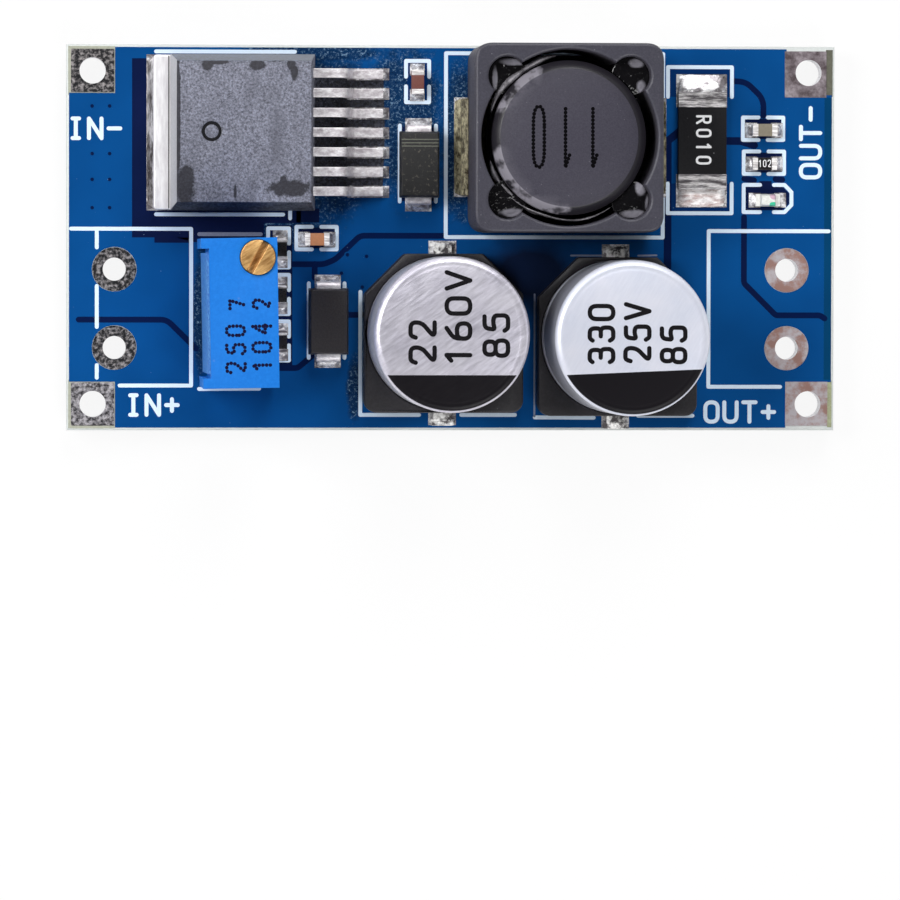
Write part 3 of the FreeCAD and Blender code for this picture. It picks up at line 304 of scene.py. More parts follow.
def brushed_can(name, low, high, turn, strength, x, y, slope, chord, metallic):
    """Drawn aluminium with slanting brush marks on top, where the part under a chord is painted black."""
    finish = Finish(name, specular=0.15)
    streaks = finish.noise(2.6, 5.0, 0.65, finish.stretched((0.35, 2.2, 1.0), turn))
    tone = finish.mix(finish.rise(streaks, 0.3, 0.7), low, high)
    tone = finish.mix(finish.rise(finish.noise(0.4, 2.0), 0.35, 0.7, 0.4), tone, rgb(240, 238, 246))
    offset = finish.vector("SUBTRACT", finish.place, (x, y, 0))
    below = finish.vector("DOT_PRODUCT", offset, (-math.sin(slope), math.cos(slope), 0))
    below = finish.fall(finish.math("ADD", below, 0.93 - chord), 0.92, 0.94)
    span = finish.vector("LENGTH", finish.vector("MULTIPLY", offset, (0.2, 0.2, 0)))
    inside = finish.fall(span, 0.966, 0.972)
    paint = finish.times(finish.times(below, inside), finish.upward(0.1, 0.14))
    tone = finish.mix(paint, tone, rgb(20, 18, 22))
    bare = finish.math("SUBTRACT", metallic, finish.times(paint, metallic))
    feed(finish.tree, bare, finish.shader.inputs["Metallic"])
    spread = strength * 4
    gloss = finish.ramp(streaks, (0.3, 0.36 - spread), (0.7, 0.36 + spread))
    return finish.done(tone, gloss, finish.bump(streaks, strength))


# Where flux dried on the board: the middle of each oval and its reach along X and Y
FLUX = [(-8.3, 6.8, 3.6, 6.8), (-3.2, 7.6, 3.0, 5.8), (-16.35, -4.8, 0.5, 5.0), (-12.0, 0.3, 5.0, 1.3),
        (-6.3, -9.8, 0.6, 2.4), (0.5, 6.4, 1.4, 6.0), (7.0, 1.0, 5.0, 0.8), (-9.0, 12.0, 6.0, 0.8)]
# The front mask carries one oval of painted shade between the two capacitors
MASK = solder_mask("solder_mask", rgb(6, 68, 128), rgb(8, 76, 140), FLUX, [(5.2, -2.3, 4.2, 2.9)])
MASK_BACK = solder_mask("solder_mask_back", rgb(0, 84, 150), rgb(2, 90, 160), [(-14.0, -4.6, 1.6, 4.6)])
GAP = solder_mask("solder_mask_over_laminate", rgb(3, 24, 68), rgb(10, 23, 62))
# Painted shade, lighter: a darker mask for the frames round the shunt's ends and the bypass capacitor
LIGHT_PAINTED_SHADE = solder_mask("solder_mask_light_painted_shade", rgb(5, 44, 96), rgb(8, 50, 106))
# Painted shade: a dark mask for the places where shade falls beside and between parts
SHADE = solder_mask("solder_mask_painted_shade", rgb(8, 22, 58), rgb(14, 26, 66))
MARGIN = solder_mask("solder_mask_at_edge", rgb(4, 58, 98), rgb(6, 66, 106))
FLUX_SHEET = speckled_plastic("dried_flux", rgb(13, 16, 27), rgb(78, 80, 94), 0.22, 5.0, 0.05, 0.7, 0.4)
LAMINATE = plain("laminate_edge", rgb(216, 221, 219), 0.55, grain=6.0, vary=0.1)
LAMINATE_PALE = plain("laminate_at_corners", rgb(178, 180, 163), 0.5, grain=6.0, vary=0.2)
LAMINATE_OLIVE = plain("laminate_beside_pads", rgb(98, 98, 84), 0.5, grain=6.0, vary=0.3)
LAMINATE_GREEN = plain("laminate_near_corner", rgb(172, 178, 142), 0.5, grain=6.0, vary=0.3)
SILK = plain("silkscreen_ink", rgb(221, 238, 255), 0.6, grain=9.0, vary=0.05)
SILK_DIM = plain("shaded_silkscreen_ink", rgb(132, 140, 166), 0.6, grain=9.0, vary=0.2)
PAD_DARK = tinned("oxidised_pads", rgb(12, 12, 17), rgb(174, 168, 168), 3.6, 0.2, (0.35, 0.6), 0.02,
                  spread=(0.46, 0.7))
PAD_GREY = tinned("grey_corner_pads", rgb(34, 31, 36), rgb(184, 180, 184), 4.4, 0.2, (0.35, 0.6), 0.02,
                  spread=(0.4, 0.64))
PAD_CLEAN = tinned("clean_pads", rgb(156, 122, 114), rgb(178, 172, 177), 1.0, 0.25, (0.35, 0.55), 0.015,
                   spread=(0.42, 0.56))
PAD_DULL = tinned("dull_pad", rgb(84, 72, 76), rgb(158, 148, 154), 1.2, 0.25, (0.35, 0.55), 0.015)
BARREL = tinned("plated_barrels", rgb(206, 206, 210), rgb(244, 244, 246), 4.0, 0.5)
SOLDER = tinned("bright_solder", rgb(132, 126, 130), rgb(252, 251, 253), 1.5, 0.45, (0.14, 0.34), 0.05,
                spread=(0.4, 0.58))
TAB_SOLDER = tinned("tab_solder", rgb(96, 88, 84), rgb(236, 232, 232), 1.6, 0.3, (0.25, 0.45), 0.06,
                    (1.6, 0.5, 1.0), spread=(0.42, 0.58))
DOME_SOLDER = tinned("wave_solder", rgb(150, 148, 152), rgb(240, 240, 242), 1.4, 0.95, (0.12, 0.25), 0.02)
TIN = tinned("matt_tin_leads", rgb(196, 188, 194), rgb(255, 253, 255), 2.6, 0.4, (0.34, 0.5), 0.02,
             (0.7, 1.3, 1.0))
TAB_TIN = tinned("heat_tab_tin", rgb(224, 220, 224), rgb(255, 254, 255), 0.8, 0.4, (0.36, 0.5), 0.02,
                 (2.2, 0.4, 1.0))
CAP_TIN = tinned("capacitor_lead_tin", rgb(84, 80, 82), rgb(252, 251, 249), 1.5, 0.25, (0.2, 0.4), 0.04,
                 spread=(0.44, 0.56))
LOW_SOLDER = tinned("dull_solder", rgb(168, 146, 142), rgb(255, 252, 252), 1.3, 0.2, (0.2, 0.4), 0.06,
                    (0.6, 2.0, 1.0), spread=(0.36, 0.54))
END_CAP = tinned("end_cap_tin", rgb(196, 190, 190), rgb(255, 253, 252), 2.4, 0.35, (0.3, 0.45), 0.04,
                 (0.4, 3.6, 1.0), spread=(0.42, 0.56))
CLIP_TIN = tinned("clip_tin_with_flux", rgb(58, 50, 30), rgb(188, 180, 148), 3.0, 0.2, (0.3, 0.55), 0.06,
                  (1.8, 0.7, 0.3), spread=(0.4, 0.62))
# Tin of the shunt's ends, also used as painted shade on the end caps of the divider resistors
SHUNT_TIN_AND_PAINTED_SHADE = tinned("shunt_end_tin_and_painted_shade", rgb(92, 88, 92), rgb(238, 235, 236), 1.8, 0.35, (0.3, 0.45), 0.04,
                   (0.4, 2.6, 1.0), spread=(0.42, 0.6))
# Painted shade for the right clip of the inductor
CLIP_DARK = tinned("shaded_clip_tin", rgb(26, 30, 44), rgb(60, 62, 72), 3.0, 0.2, (0.3, 0.55), 0.02)
MOULDING = regulator_plastic()
# Lit and shaded copies of the moulding for its sloped faces: painted light, painted half shade and painted
# shade
DRAFT_PAINTED_LIGHT = speckled_plastic("moulding_left_face_painted_light", rgb(162, 163, 170), rgb(186, 187, 194), 0.4, 6.0, 0.01,
                               0.1, 0.3, 0.8)
DRAFT_PAINTED_HALF_SHADE = tinned("moulding_far_face_painted_half_shade", rgb(70, 76, 88), rgb(116, 124, 142), 4.0, 0.0, (0.4, 0.55), 0.015,
                    (1.0, 1.0, 0.9), spread=(0.4, 0.62))
DRAFT_PAINTED_SHADE = speckled_plastic("moulding_near_face_painted_shade", rgb(30, 32, 40), rgb(110, 114, 126), 0.5, 5.0, 0.03, 0.6,
                              0.15, 0.3)
MOAT_PAINTED_SHADOW = plain("mark_shadow", rgb(20, 20, 25), 0.6, grain=9.0, vary=0.3, specular=0.15)
# Painted shadow for the thin line where the tab meets the moulding
TAB_PAINTED_SHADOW = plain("painted_shadow_on_tab", rgb(96, 94, 96), 0.6, grain=9.0, vary=0.3)
DIODE_FLUXED = tinned("fluxed_diode_moulding", rgb(5, 5, 7), rgb(98, 93, 84), 4.2, 0.0, (0.5, 0.7), 0.02,
                      spread=(0.56, 0.72))
DIODE_BLACK = speckled_plastic("diode_moulding", rgb(34, 31, 34), rgb(48, 44, 46), 0.5, 8.0, 0.015, 0.3, 0.3)
BAND_INK = plain("diode_band", rgb(104, 106, 96), 0.45, grain=8.0, vary=0.3)
FERRITE = inductor_ferrite()
SHIELD = speckled_plastic("shield_ferrite", rgb(57, 56, 66), rgb(74, 73, 84), 0.4, 9.0, 0.012, 0.4, 0.4)
SHIELD_SIDE = speckled_plastic("shield_side_ferrite", rgb(54, 52, 60), rgb(98, 95, 106), 0.6, 7.0, 0.025, 0.5,
                               0.3, 0.9)
GLUE = inductor_glue()
GLUE_WITH_PAINTED_HIGHLIGHT = tinned("glue_smear_with_painted_highlight", rgb(70, 68, 72), rgb(150, 147, 153), 1.4, 0.0, (0.16, 0.3), 0.06)
CAN_ONE = brushed_can("brushed_can_top", rgb(184, 181, 194), rgb(222, 219, 232), 35, 0.012, -0.6, -6.17, 0.0,
                      -2.57, 0.6)
CAN_TWO = brushed_can("smooth_can_top", rgb(214, 218, 233), rgb(222, 226, 240), 60, 0.0, 10.94, -6.38,
                      math.radians(2.4), -2.16, 0.35)
CAN_SIDE_ONE = speckled_plastic("grainy_can_side", rgb(160, 161, 170), rgb(206, 207, 216), 0.4, 5.0, 0.008,
                                0.4, 0.4, 0.9)
CAN_SIDE_TWO = speckled_plastic("smooth_can_side", rgb(148, 150, 160), rgb(170, 172, 184), 0.3, 4.0, 0.003,
                                0.1, 0.4, 0.9)
INK_BLUE = plain("dotted_ink", rgb(16, 12, 52), 0.6, grain=8.0, vary=0.2, specular=0.08)
# Black ink of the capacitors' marks, also used as painted shade under the inductor
BLACK_INK_AND_PAINTED_SHADE = plain("black_ink", rgb(18, 16, 20), 0.5, grain=8.0, vary=0.2, specular=0.1)
INK_DOTS = plain("dull_black_ink", rgb(8, 7, 10), 0.7, grain=8.0, vary=0.2, specular=0.03)
BASE_BLACK = speckled_plastic("capacitor_base", rgb(28, 26, 30), rgb(42, 40, 44), 0.5, 6.0, 0.012, 0.3)
SHUNT_BLACK = speckled_plastic("shunt_coating", rgb(15, 15, 19), rgb(23, 23, 27), 0.5, 8.0, 0.012, 0.5, 0.2)
WHITE_INK = plain("white_ink", rgb(252, 253, 255), 0.6, grain=10.0, vary=0.04)
BROWN_CHIP = plain("brown_ceramic", rgb(120, 70, 62), 0.45, grain=8.0, vary=0.2)
GREY_CHIP = plain("grey_ceramic", rgb(140, 132, 116), 0.4, grain=8.0, vary=0.15)
TAN_CHIP = plain("tan_ceramic", rgb(182, 122, 84), 0.42, grain=8.0, vary=0.15)
RESISTOR = plain("resistor_glass", rgb(24, 22, 24), 0.3, grain=10.0)
LAMP_BODY = plain("lamp_carrier", rgb(236, 236, 232), 0.45, grain=5.0)
LAMP_CAP = tinned("lamp_end_caps", rgb(228, 227, 222), rgb(255, 255, 252), 3.0, 0.05, (0.3, 0.5), 0.03)
BLUE = speckled_plastic("trimmer_plastic", rgb(13, 113, 207), rgb(22, 124, 218), 0.5, 4.0, 0.008, 0.12, 0.25)
POTTING = tinned("trimmer_potting", rgb(12, 100, 192), rgb(104, 172, 228), 5.0, 0.0, (0.45, 0.6), 0.015,
                 (1, 1, 0.85), spread=(0.42, 0.64))
BRASS = tinned("turned_brass", rgb(182, 132, 76), rgb(230, 188, 124), 2.2, 0.6, (0.3, 0.46), 0.008,
               (0.5, 3.0, 1.0), 30)
CERAMIC = plain("trimmer_ceramic", rgb(226, 222, 214), 0.5)
RUBBER = plain("seal_rubber", rgb(30, 30, 32), 0.7)
NYLON = plain("wheel_nylon", rgb(214, 208, 190), 0.5)
SPRING = plain("wiper_metal", rgb(200, 170, 110), 0.35, 1.0)
WIRE = plain("enamelled_wire", rgb(120, 58, 30), 0.35, 0.5)


def lamp_resin():
    """Clear resin over white, with the green of the chip's mark and a pinkish die under it."""
    finish = Finish("lamp_resin", specular=0.5)
    tone = finish.mix(finish.rise(finish.noise(3.0, 3.0), 0.4, 0.6), rgb(226, 228, 220), rgb(252, 252, 250))
    tone = finish.mix(finish.near(20.98, 2.2, 0.3, 0.2, 0.4, 4.0), tone, rgb(60, 206, 160))
    tone = finish.mix(finish.near(21.0, 2.75, 0.3, 0.2, 0.4, 4.0), tone, rgb(214, 178, 196))
    return finish.done(tone, 0.25, finish.bump(finish.noise(3.0, 3.0), 0.03))


LAMP_LENS = lamp_resin()


# Meshes
def arc(x, y, radius, start, end, steps=10):
    """Points along an arc, angles in degrees."""
    return [
        (x + radius * math.cos(math.radians(start + (end - start) * k / steps)),
         y + radius * math.sin(math.radians(start + (end - start) * k / steps)))
        for k in range(steps + 1)
    ]


def ring(x, y, radius, steps=48):
    """A closed circle."""
    return arc(x, y, radius, 0, 360 - 360 / steps, steps - 1)


def rounded(points, radius, closed=False, steps=6):
    """A polyline whose corners are rounded off."""
    spots = [Vector(p) for p in points]
    count = len(spots)
    result = []
    for index, spot in enumerate(spots):
        if not closed and index in (0, count - 1):
            result.append(tuple(spot))
            continue
        before = spots[index - 1] - spot
        after = spots[(index + 1) % count] - spot
        reach = min(radius, before.length * 0.499, after.length * 0.499)
        start = spot + before.normalized() * reach
        end = spot + after.normalized() * reach
        for k in range(steps + 1):
            t = k / steps
            result.append(tuple(start * (1 - t) ** 2 + spot * (2 * t * (1 - t)) + end * t ** 2))
    return result


def frame_outline(x0, y0, x1, y1, radius=0.0, steps=6):
    """A rectangle between two corners, with round corners if wanted."""
    corners = [(x0, y0), (x1, y0), (x1, y1), (x0, y1)]
    return rounded(corners, radius, True, steps) if radius else corners


def finish_object(name, mesh, material, body="board", sharp=35.0):
    """Puts a mesh in the scene with smooth shading between soft edges, on its body."""
    mesh.materials.clear()
    mesh.materials.append(material)
    for face in mesh.polygons:
        face.use_smooth = True
    mesh.set_sharp_from_angle(angle=math.radians(sharp))
    piece = bpy.data.objects.new(name, mesh)
    bpy.context.scene.collection.objects.link(piece)
    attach(piece, body)
    return piece


def coat(piece, material, test):
    """Another finish on the faces whose normal passes a test."""
    piece.data.materials.append(material)
    for face in piece.data.polygons:
        if test(face.normal):
            face.material_index = len(piece.data.materials) - 1


def from_lists(name, points, faces, material, sharp=35.0):
    """An object from vertices in millimetres and their faces."""
    mesh = bpy.data.meshes.new(name)
    mesh.from_pydata([tuple(c * MM for c in p) for p in points], [], faces)
    mesh.update()
    return finish_object(name, mesh, material, sharp=sharp)


def restyle(node, material):
    """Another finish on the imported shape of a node, which stays as it is."""
    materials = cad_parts[node].data.materials
    materials.clear()
    materials.append(material)


def plate(name, loops, low, high, material, bevel=0.0, steps=3, turn=None):
    """A flat slab between two heights from closed outlines; inner outlines are holes."""
    curve = bpy.data.curves.new(name, "CURVE")
    curve.dimensions = "2D"
    curve.fill_mode = "BOTH"
    curve.extrude = ((high - low) / 2 - bevel) * MM
    curve.bevel_depth = bevel * MM
    curve.bevel_resolution = steps
    curve.offset = -bevel * MM
    for loop in loops:
        spline = curve.splines.new("POLY")
        spline.points.add(len(loop) - 1)
        for point, (x, y) in zip(spline.points, loop):
            point.co = (x * MM, y * MM, 0, 1)
        spline.use_cyclic_u = True
    holder = bpy.data.objects.new(name + "_curve", curve)
    bpy.context.scene.collection.objects.link(holder)
    bpy.context.view_layer.update()
    mesh = bpy.data.meshes.new_from_object(holder.evaluated_get(bpy.context.evaluated_depsgraph_get()))
    bpy.data.objects.remove(holder)
    mesh.transform(Matrix.Translation((0, 0, (low + high) / 2 * MM)))
    if turn is not None:
        mesh.transform(turn)
    mesh.name = name
    return finish_object(name, mesh, material)


def ribbon(points, width):
    """The outline of a bent strip of this thickness, drawn along its middle line."""
    spots = [Vector(p) for p in points]
    left, right = [], []
    for index, spot in enumerate(spots):
        before = spot - spots[index - 1] if index else spots[1] - spot
        after = spots[index + 1] - spot if index < len(spots) - 1 else before
        ahead = (before.normalized() + after.normalized()).normalized()
        normal = Vector((-ahead.y, ahead.x))
        stretch = 1 / max(0.35, normal.dot(Vector((-after.y, after.x)).normalized()))
        left.append(tuple(spot + normal * width / 2 * stretch))
        right.append(tuple(spot - normal * width / 2 * stretch))
    return left + right[::-1]


def capsule(start, end, radius, steps=6):
    """The outline of one straight pen stroke with round ends; a dot if both ends are the same."""
    ahead = math.degrees(math.atan2(end[1] - start[1], end[0] - start[0]))
    if math.dist(start, end) < 1e-6:
        return ring(*start, radius, 2 * steps)
    half = arc(*end, radius, ahead - 90, ahead + 90, steps)
    return half + arc(*start, radius, ahead + 90, ahead + 270, steps)


def drawing(name, lines, width, low, high, material, turn=None):
    """Pen lines joined into one thin layer. A line is its points, or its points and True if it is closed."""
    spots, loops = [], []
    for line in lines:
        path = line[0] + line[0][:1] if isinstance(line, tuple) else line
        for start, end in zip(path, path[1:]) if len(path) > 1 else [(path[0], path[0])]:
            loop = capsule(start, end, width / 2)
            loops.append(list(range(len(spots), len(spots) + len(loop))))
            spots += [Vector(p) for p in loop]
    flat, _, triangles, _, _, owners = delaunay_2d_cdt(spots, [], loops, 1, 1e-5)
    triangles = [tuple(t) for t, owner in zip(triangles, owners) if owner]
    edges = {(t[k], t[(k + 1) % 3]) for t in triangles for k in range(3)}
    count = len(flat)
    points = [(p.x, p.y, high) for p in flat] + [(p.x, p.y, low) for p in flat]
    walls = [(b, a, a + count, b + count) for a, b in edges if (b, a) not in edges]
    piece = from_lists(name, points, triangles + walls, material)
    if turn is not None:
        piece.data.transform(turn)
    return piece


def dotted(lines, spacing):
    """Pen lines as rows of dots."""
    dots = []
    for line in lines:
        path = line[0] + line[0][:1] if isinstance(line, tuple) else line
        left = 0.0
        for start, end in zip(path, path[1:]):
            length = math.dist(start, end)
            while left <= length:
                share = left / max(length, 1e-9)
                dots.append([(start[0] + (end[0] - start[0]) * share,
                              start[1] + (end[1] - start[1]) * share)])
                left += spacing
            left -= length
    return dots


def merged(name, pieces):
    """One object from several that share a body."""
    with bpy.context.temp_override(active_object=pieces[0], selected_editable_objects=pieces,
                                   selected_objects=pieces):
        if len(pieces) > 1:
            bpy.ops.object.join()
    pieces[0].name = name
    return pieces[0]


def lathe(name, profile, centre, material, segments=72, turn=None):
    """A turned shape from radius and height pairs, about a vertical axis at the centre."""
    points, faces, circles = [], [], []
    for radius, height in profile:
        spots = ring(*centre, radius, segments) if radius else [centre]
        circles.append(range(len(points), len(points) + len(spots)))
        points += [(x, y, height) for x, y in spots]
    for lower, upper in zip(circles, circles[1:]):
        for k in range(segments):
            after = (k + 1) % segments
            if len(lower) == 1:
                faces.append((lower[0], upper[after], upper[k]))
            elif len(upper) == 1:
                faces.append((lower[k], lower[after], upper[0]))
            else:
                faces.append((lower[k], lower[after], upper[after], upper[k]))
    piece = from_lists(name, points, faces, material)
    if turn is not None:
        piece.data.transform(turn)
    return piece


def soften(node, material, bevel, body="board"):
    """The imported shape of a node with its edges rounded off, in place of that node."""
    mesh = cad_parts[node].data.copy()
    piece = finish_object(node + "_finished", mesh, material, body, sharp=40.0)
    piece.modifiers.new("weld", "WELD").merge_threshold = 1e-7
    plane = piece.modifiers.new("flat", "DECIMATE")
    plane.decimate_type = "DISSOLVE"
    plane.angle_limit = math.radians(1.0)
    edge = piece.modifiers.new("edge", "BEVEL")
    edge.width = bevel * MM
    edge.segments = 3
    edge.limit_method = "ANGLE"
    edge.angle_limit = math.radians(30.0)
    edge.harden_normals = True
    edge.use_clamp_overlap = True
    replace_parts(piece, node)
    return piece


def fillet(x, y, turn, width, reach, height, seed, low=LAND_TOP, steps=(10, 8)):
    """Points and faces of one solder fillet, a hollow slope from the edge of its land up to the lead."""
    chance = random.Random(seed)
    wobble = [chance.uniform(-1, 1) for _ in range(4)]
    points, faces = [], []
    cos, sin = math.cos(math.radians(turn)), math.sin(math.radians(turn))
    across, along = steps
    for i in range(across + 1):
        u = i / across * 2 - 1
        for j in range(along + 1):
            v = j / along
            bulge = 1 - abs(u) ** 4
            slope = 0.9 * (1 - v) ** 1.7 + 0.22 * math.sin(math.pi * v)
            waves = 0.16 * math.sin(3.1 * u + wobble[0] * 3) * wobble[1]
            waves += 0.12 * wobble[2] * math.sin(7 * v + wobble[3])
            rise = height * slope * bulge ** 0.4 * (1 + waves) if v < 1 else 0.0
            out = reach * v * (0.9 + 0.1 * bulge)
            side = u * width / 2 * (1 - 0.06 * v)
            points.append((x + out * cos - side * sin, y + out * sin + side * cos, low + max(0.0, rise)))
    for i in range(across):
        for j in range(along):
            a = i * (along + 1) + j
            faces.append((a, a + along + 1, a + along + 2, a + 1))
    return points, faces


def solder_set(name, node, beads, material=SOLDER, others=(), second=None):
    """Solder fillets in one object, in place of the node; some may have a second finish."""
    points, faces, first = [], [], 0
    for index, bead in enumerate(list(beads) + list(others)):
        more, quads = fillet(*bead)
        faces += [tuple(i + len(points) for i in quad) for quad in quads]
        points += more
        if index == len(beads) - 1:
            first = len(faces)
    piece = from_lists(name, points, faces, material, sharp=80)
    if second is not None:
        piece.data.materials.append(second)
        for face in piece.data.polygons[first:]:
            face.material_index = 1
    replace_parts(piece, node)


def side_profile(name, outline, width, centre, turn, material, bevel=0.04):
    """A bar whose section is drawn in X and Z and which is then turned about the upright axis."""
    upright = Matrix.Rotation(math.radians(90), 4, "X")
    spin = Matrix.Rotation(math.radians(turn), 4, "Z")
    shift = Matrix.Translation((centre[0] * MM, centre[1] * MM, centre[2] * MM))
    return plate(name, [outline], -width / 2, width / 2, material, bevel, turn=shift @ spin @ upright)


# Strokes of the printed characters, on a grid one unit high and about 0.62 wide
def oval(width=0.6):
    return (rounded([(0, 0), (width, 0), (width, 1), (0, 1)], 0.42, True), True)


GLYPHS = {
    "0": [oval()],
    "1": [[(0.12, 0.8), (0.34, 1.0), (0.34, 0.0)]],
    "2": [rounded([(0.0, 0.8), (0.08, 1.02), (0.6, 1.02), (0.6, 0.55), (0.0, 0.0), (0.6, 0.0)], 0.28)],
    "3": [rounded([(0.0, 0.88), (0.1, 1.0), (0.56, 1.0), (0.56, 0.53), (0.2, 0.53)], 0.22),
          rounded([(0.2, 0.53), (0.6, 0.53), (0.6, 0.0), (0.1, 0.0), (0.0, 0.14)], 0.24)],
    "4": [[(0.46, 0.0), (0.46, 1.0), (0.0, 0.3), (0.62, 0.3)]],
    "5": [rounded([(0.56, 1.0), (0.1, 1.0), (0.04, 0.55), (0.3, 0.64), (0.6, 0.6), (0.6, 0.0), (0.1, 0.0),
                   (0.0, 0.15)], 0.2)],
    "6": [(rounded([(0.0, 0.0), (0.6, 0.0), (0.6, 0.56), (0.0, 0.56)], 0.26, True), True),
          rounded([(0.0, 0.3), (0.02, 0.7), (0.42, 1.0)], 0.3)],
    "7": [[(0.0, 1.0), (0.6, 1.0), (0.22, 0.0)]],
    "8": [(rounded([(0.04, 0.53), (0.56, 0.53), (0.56, 1.0), (0.04, 1.0)], 0.22, True), True),
          (rounded([(0.0, 0.0), (0.6, 0.0), (0.6, 0.53), (0.0, 0.53)], 0.24, True), True)],
    "I": [[(0.3, 0.0), (0.3, 1.0)], [(0.14, 0.0), (0.46, 0.0)], [(0.14, 1.0), (0.46, 1.0)]],
    "N": [[(0.0, 0.0), (0.0, 1.0), (0.62, 0.0), (0.62, 1.0)]],
    "O": [oval(0.62)],
    "U": [rounded([(0.0, 1.0), (0.0, 0.0), (0.62, 0.0), (0.62, 1.0)], 0.34)],
    "T": [[(0.31, 0.0), (0.31, 1.0)], [(0.0, 1.0), (0.62, 1.0)]],
    "V": [[(0.0, 1.0), (0.32, 0.0), (0.64, 1.0)]],
    "R": [[(0.0, 0.0), (0.0, 1.0)],
          rounded([(0.0, 1.0), (0.58, 1.0), (0.58, 0.48), (0.0, 0.48)], 0.26), [(0.28, 0.48), (0.62, 0.0)]],
    "+": [[(0.31, 0.2), (0.31, 0.8)], [(0.02, 0.5), (0.6, 0.5)]],
    "-": [[(0.02, 0.5), (0.6, 0.5)]],
}


def lettering(text, x, y, height, turn=0.0, width=0.85, pitch=0.95):
    """The strokes of a word whose baseline starts at a point."""
    lines = []
    cos, sin = math.cos(math.radians(turn)), math.sin(math.radians(turn))
    for index, letter in enumerate(text):
        for stroke in GLYPHS[letter]:
            closed = isinstance(stroke, tuple)
            spots = []
            for u, v in (stroke[0] if closed else stroke):
                px = (u * width + index * pitch * width) * height
                py = v * height
                spots.append((x + px * cos - py * sin, y + px * sin + py * cos))
            lines.append((spots, True) if closed else spots)
    return lines


# Circuit board: laminate, mask with openings on both faces, copper gaps and vias
BOARD_X, BOARD_Y = 25.0, 12.5
CORNERS = [(sx * 23.3, sy * 10.8) for sx in (-1, 1) for sy in (-1, 1)]
TERMINALS = [(sx * 21.9, -4.6 + sy * 2.54) for sx in (-1, 1) for sy in (-1, 1)]
TRIMMER_X, TRIMMER_Y, TRIMMER_LEAN = -14.04, -4.82, math.radians(1)
TRIMMER_PINS = [(TRIMMER_X - 2.54 * k * math.sin(TRIMMER_LEAN), TRIMMER_Y + 2.54 * k) for k in (-1, 0, 1)]
CORNER_BORE, TERMINAL_BORE = 0.85, 0.75
PLATING = 0.05
EDGE = 0.15
SNAP = 0.17
NOTCH = 3.15

holes = [ring(x, y, CORNER_BORE + PLATING) for x, y in CORNERS]
holes += [ring(x, y, TERMINAL_BORE + PLATING) for x, y in TERMINALS]
laminate = plate("board_laminate", [frame_outline(-BOARD_X, -BOARD_Y, BOARD_X, BOARD_Y)] + holes,
                 0.0, BOARD_TOP, LAMINATE, EDGE, steps=1)
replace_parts(laminate, "circuit_board")


def mask_sheet(name, low, high, material):
    """Mask over a face, stepped back round each corner pad."""
    outline = []
    for sx, sy in ((-1, -1), (1, -1), (1, 1), (-1, 1)):
        inner = (sx * (BOARD_X - NOTCH), sy * (BOARD_Y - NOTCH))
        step = [(sx * (BOARD_X - SNAP), inner[1]), inner, (inner[0], sy * (BOARD_Y - SNAP))]
        outline += step[::sx * sy]
    openings = [ring(x, y, 1.45) for x, y in TERMINALS] + [ring(x, y, 0.46) for x, y in TRIMMER_PINS]
    plate(name, [outline] + openings, low, high, material)


mask_sheet("mask_top", BOARD_TOP + 0.0005, MASK_TOP, MASK)
mask_sheet("mask_bottom", -0.025, -0.0005, MASK_BACK)


def eyelets(name, outlines, spots, bore, face, material):
    """Lands round plated holes, on one face of the board."""
    low, high = (BOARD_TOP, LAND_TOP) if face == "top" else (-0.05, 0.0)
    merged(name, [plate(name, [outline, ring(*spot, bore)], low, high, material, 0.012, steps=1)
                  for outline, spot in zip(outlines, spots)])


square_pads = [frame_outline(x - 1.4, y - 1.4, x + 1.4, y + 1.4, 0.06, 2) for x, y in CORNERS]
PAD_REACH = 1.425
round_pads = [ring(x, y, PAD_REACH) for x, y in TERMINALS]
worn_pads = square_pads[:2] + [frame_outline(21.83, -12.2, 24.6, -9.33),
                               frame_outline(21.74, 9.2, 24.47, 12.2)]
corner_finishes = (("near_left", PAD_GREY), ("far_left", PAD_DARK), ("near_right", PAD_CLEAN),
                   ("far_right", PAD_DULL))
for outline, spot, (place, material) in zip(worn_pads, CORNERS, corner_finishes):
    eyelets("corner_pad_" + place, [outline], [spot], CORNER_BORE, "top", material)
eyelets("corner_pads_bottom", square_pads, CORNERS, CORNER_BORE, "bottom", PAD_CLEAN)
eyelets("terminal_pads_left", round_pads[:2], TERMINALS[:2], TERMINAL_BORE, "top", PAD_DARK)
eyelets("terminal_pads_right", round_pads[2:], TERMINALS[2:], TERMINAL_BORE, "top", PAD_CLEAN)
eyelets("terminal_pads_bottom", round_pads, TERMINALS, TERMINAL_BORE, "bottom", PAD_CLEAN)
barrels = []
for spots, bore in ((CORNERS, CORNER_BORE), (TERMINALS, TERMINAL_BORE)):
    low, high, wall = -0.02, LAND_TOP - 0.03, bore + PLATING
    sleeve = [(wall, low), (bore, low), (bore, high), (wall, high)]
    barrels += [lathe("barrel", sleeve, spot, BARREL, 48) for spot in spots]
merged("plated_barrels", barrels)

GAP_WIDTH = 0.38
front_gaps = [
    rounded([(-24.2, -5.33), (-18.5, -5.33), (-16.6, -7.2)], 0.4),
    rounded([(19.1, 1.4), (19.1, -2.9), (21.2, -5.0), (24.1, -5.0), (24.4, -5.2)], 0.15),
    rounded([(18.3, 10.25), (19.2, 10.2), (20.35, 9.1), (20.35, 8.0)], 0.7),
    rounded([(-0.6, 0.14), (-5.95, 0.14), (-7.55, -1.4), (-8.3, -1.72), (-10.4, -1.72)], 0.3),
    [(-8.9, -1.7), (-8.9, -2.6)],
    [(-6.9, -5.0), (-5.8, -5.0)], rounded([(-11.1, -8.46), (-10.0, -8.46), (-9.1, -7.7)], 0.2),
    [(19.1, 3.9), (19.75, 3.8)], [(21.15, 3.88), (21.6, 3.84)],
]
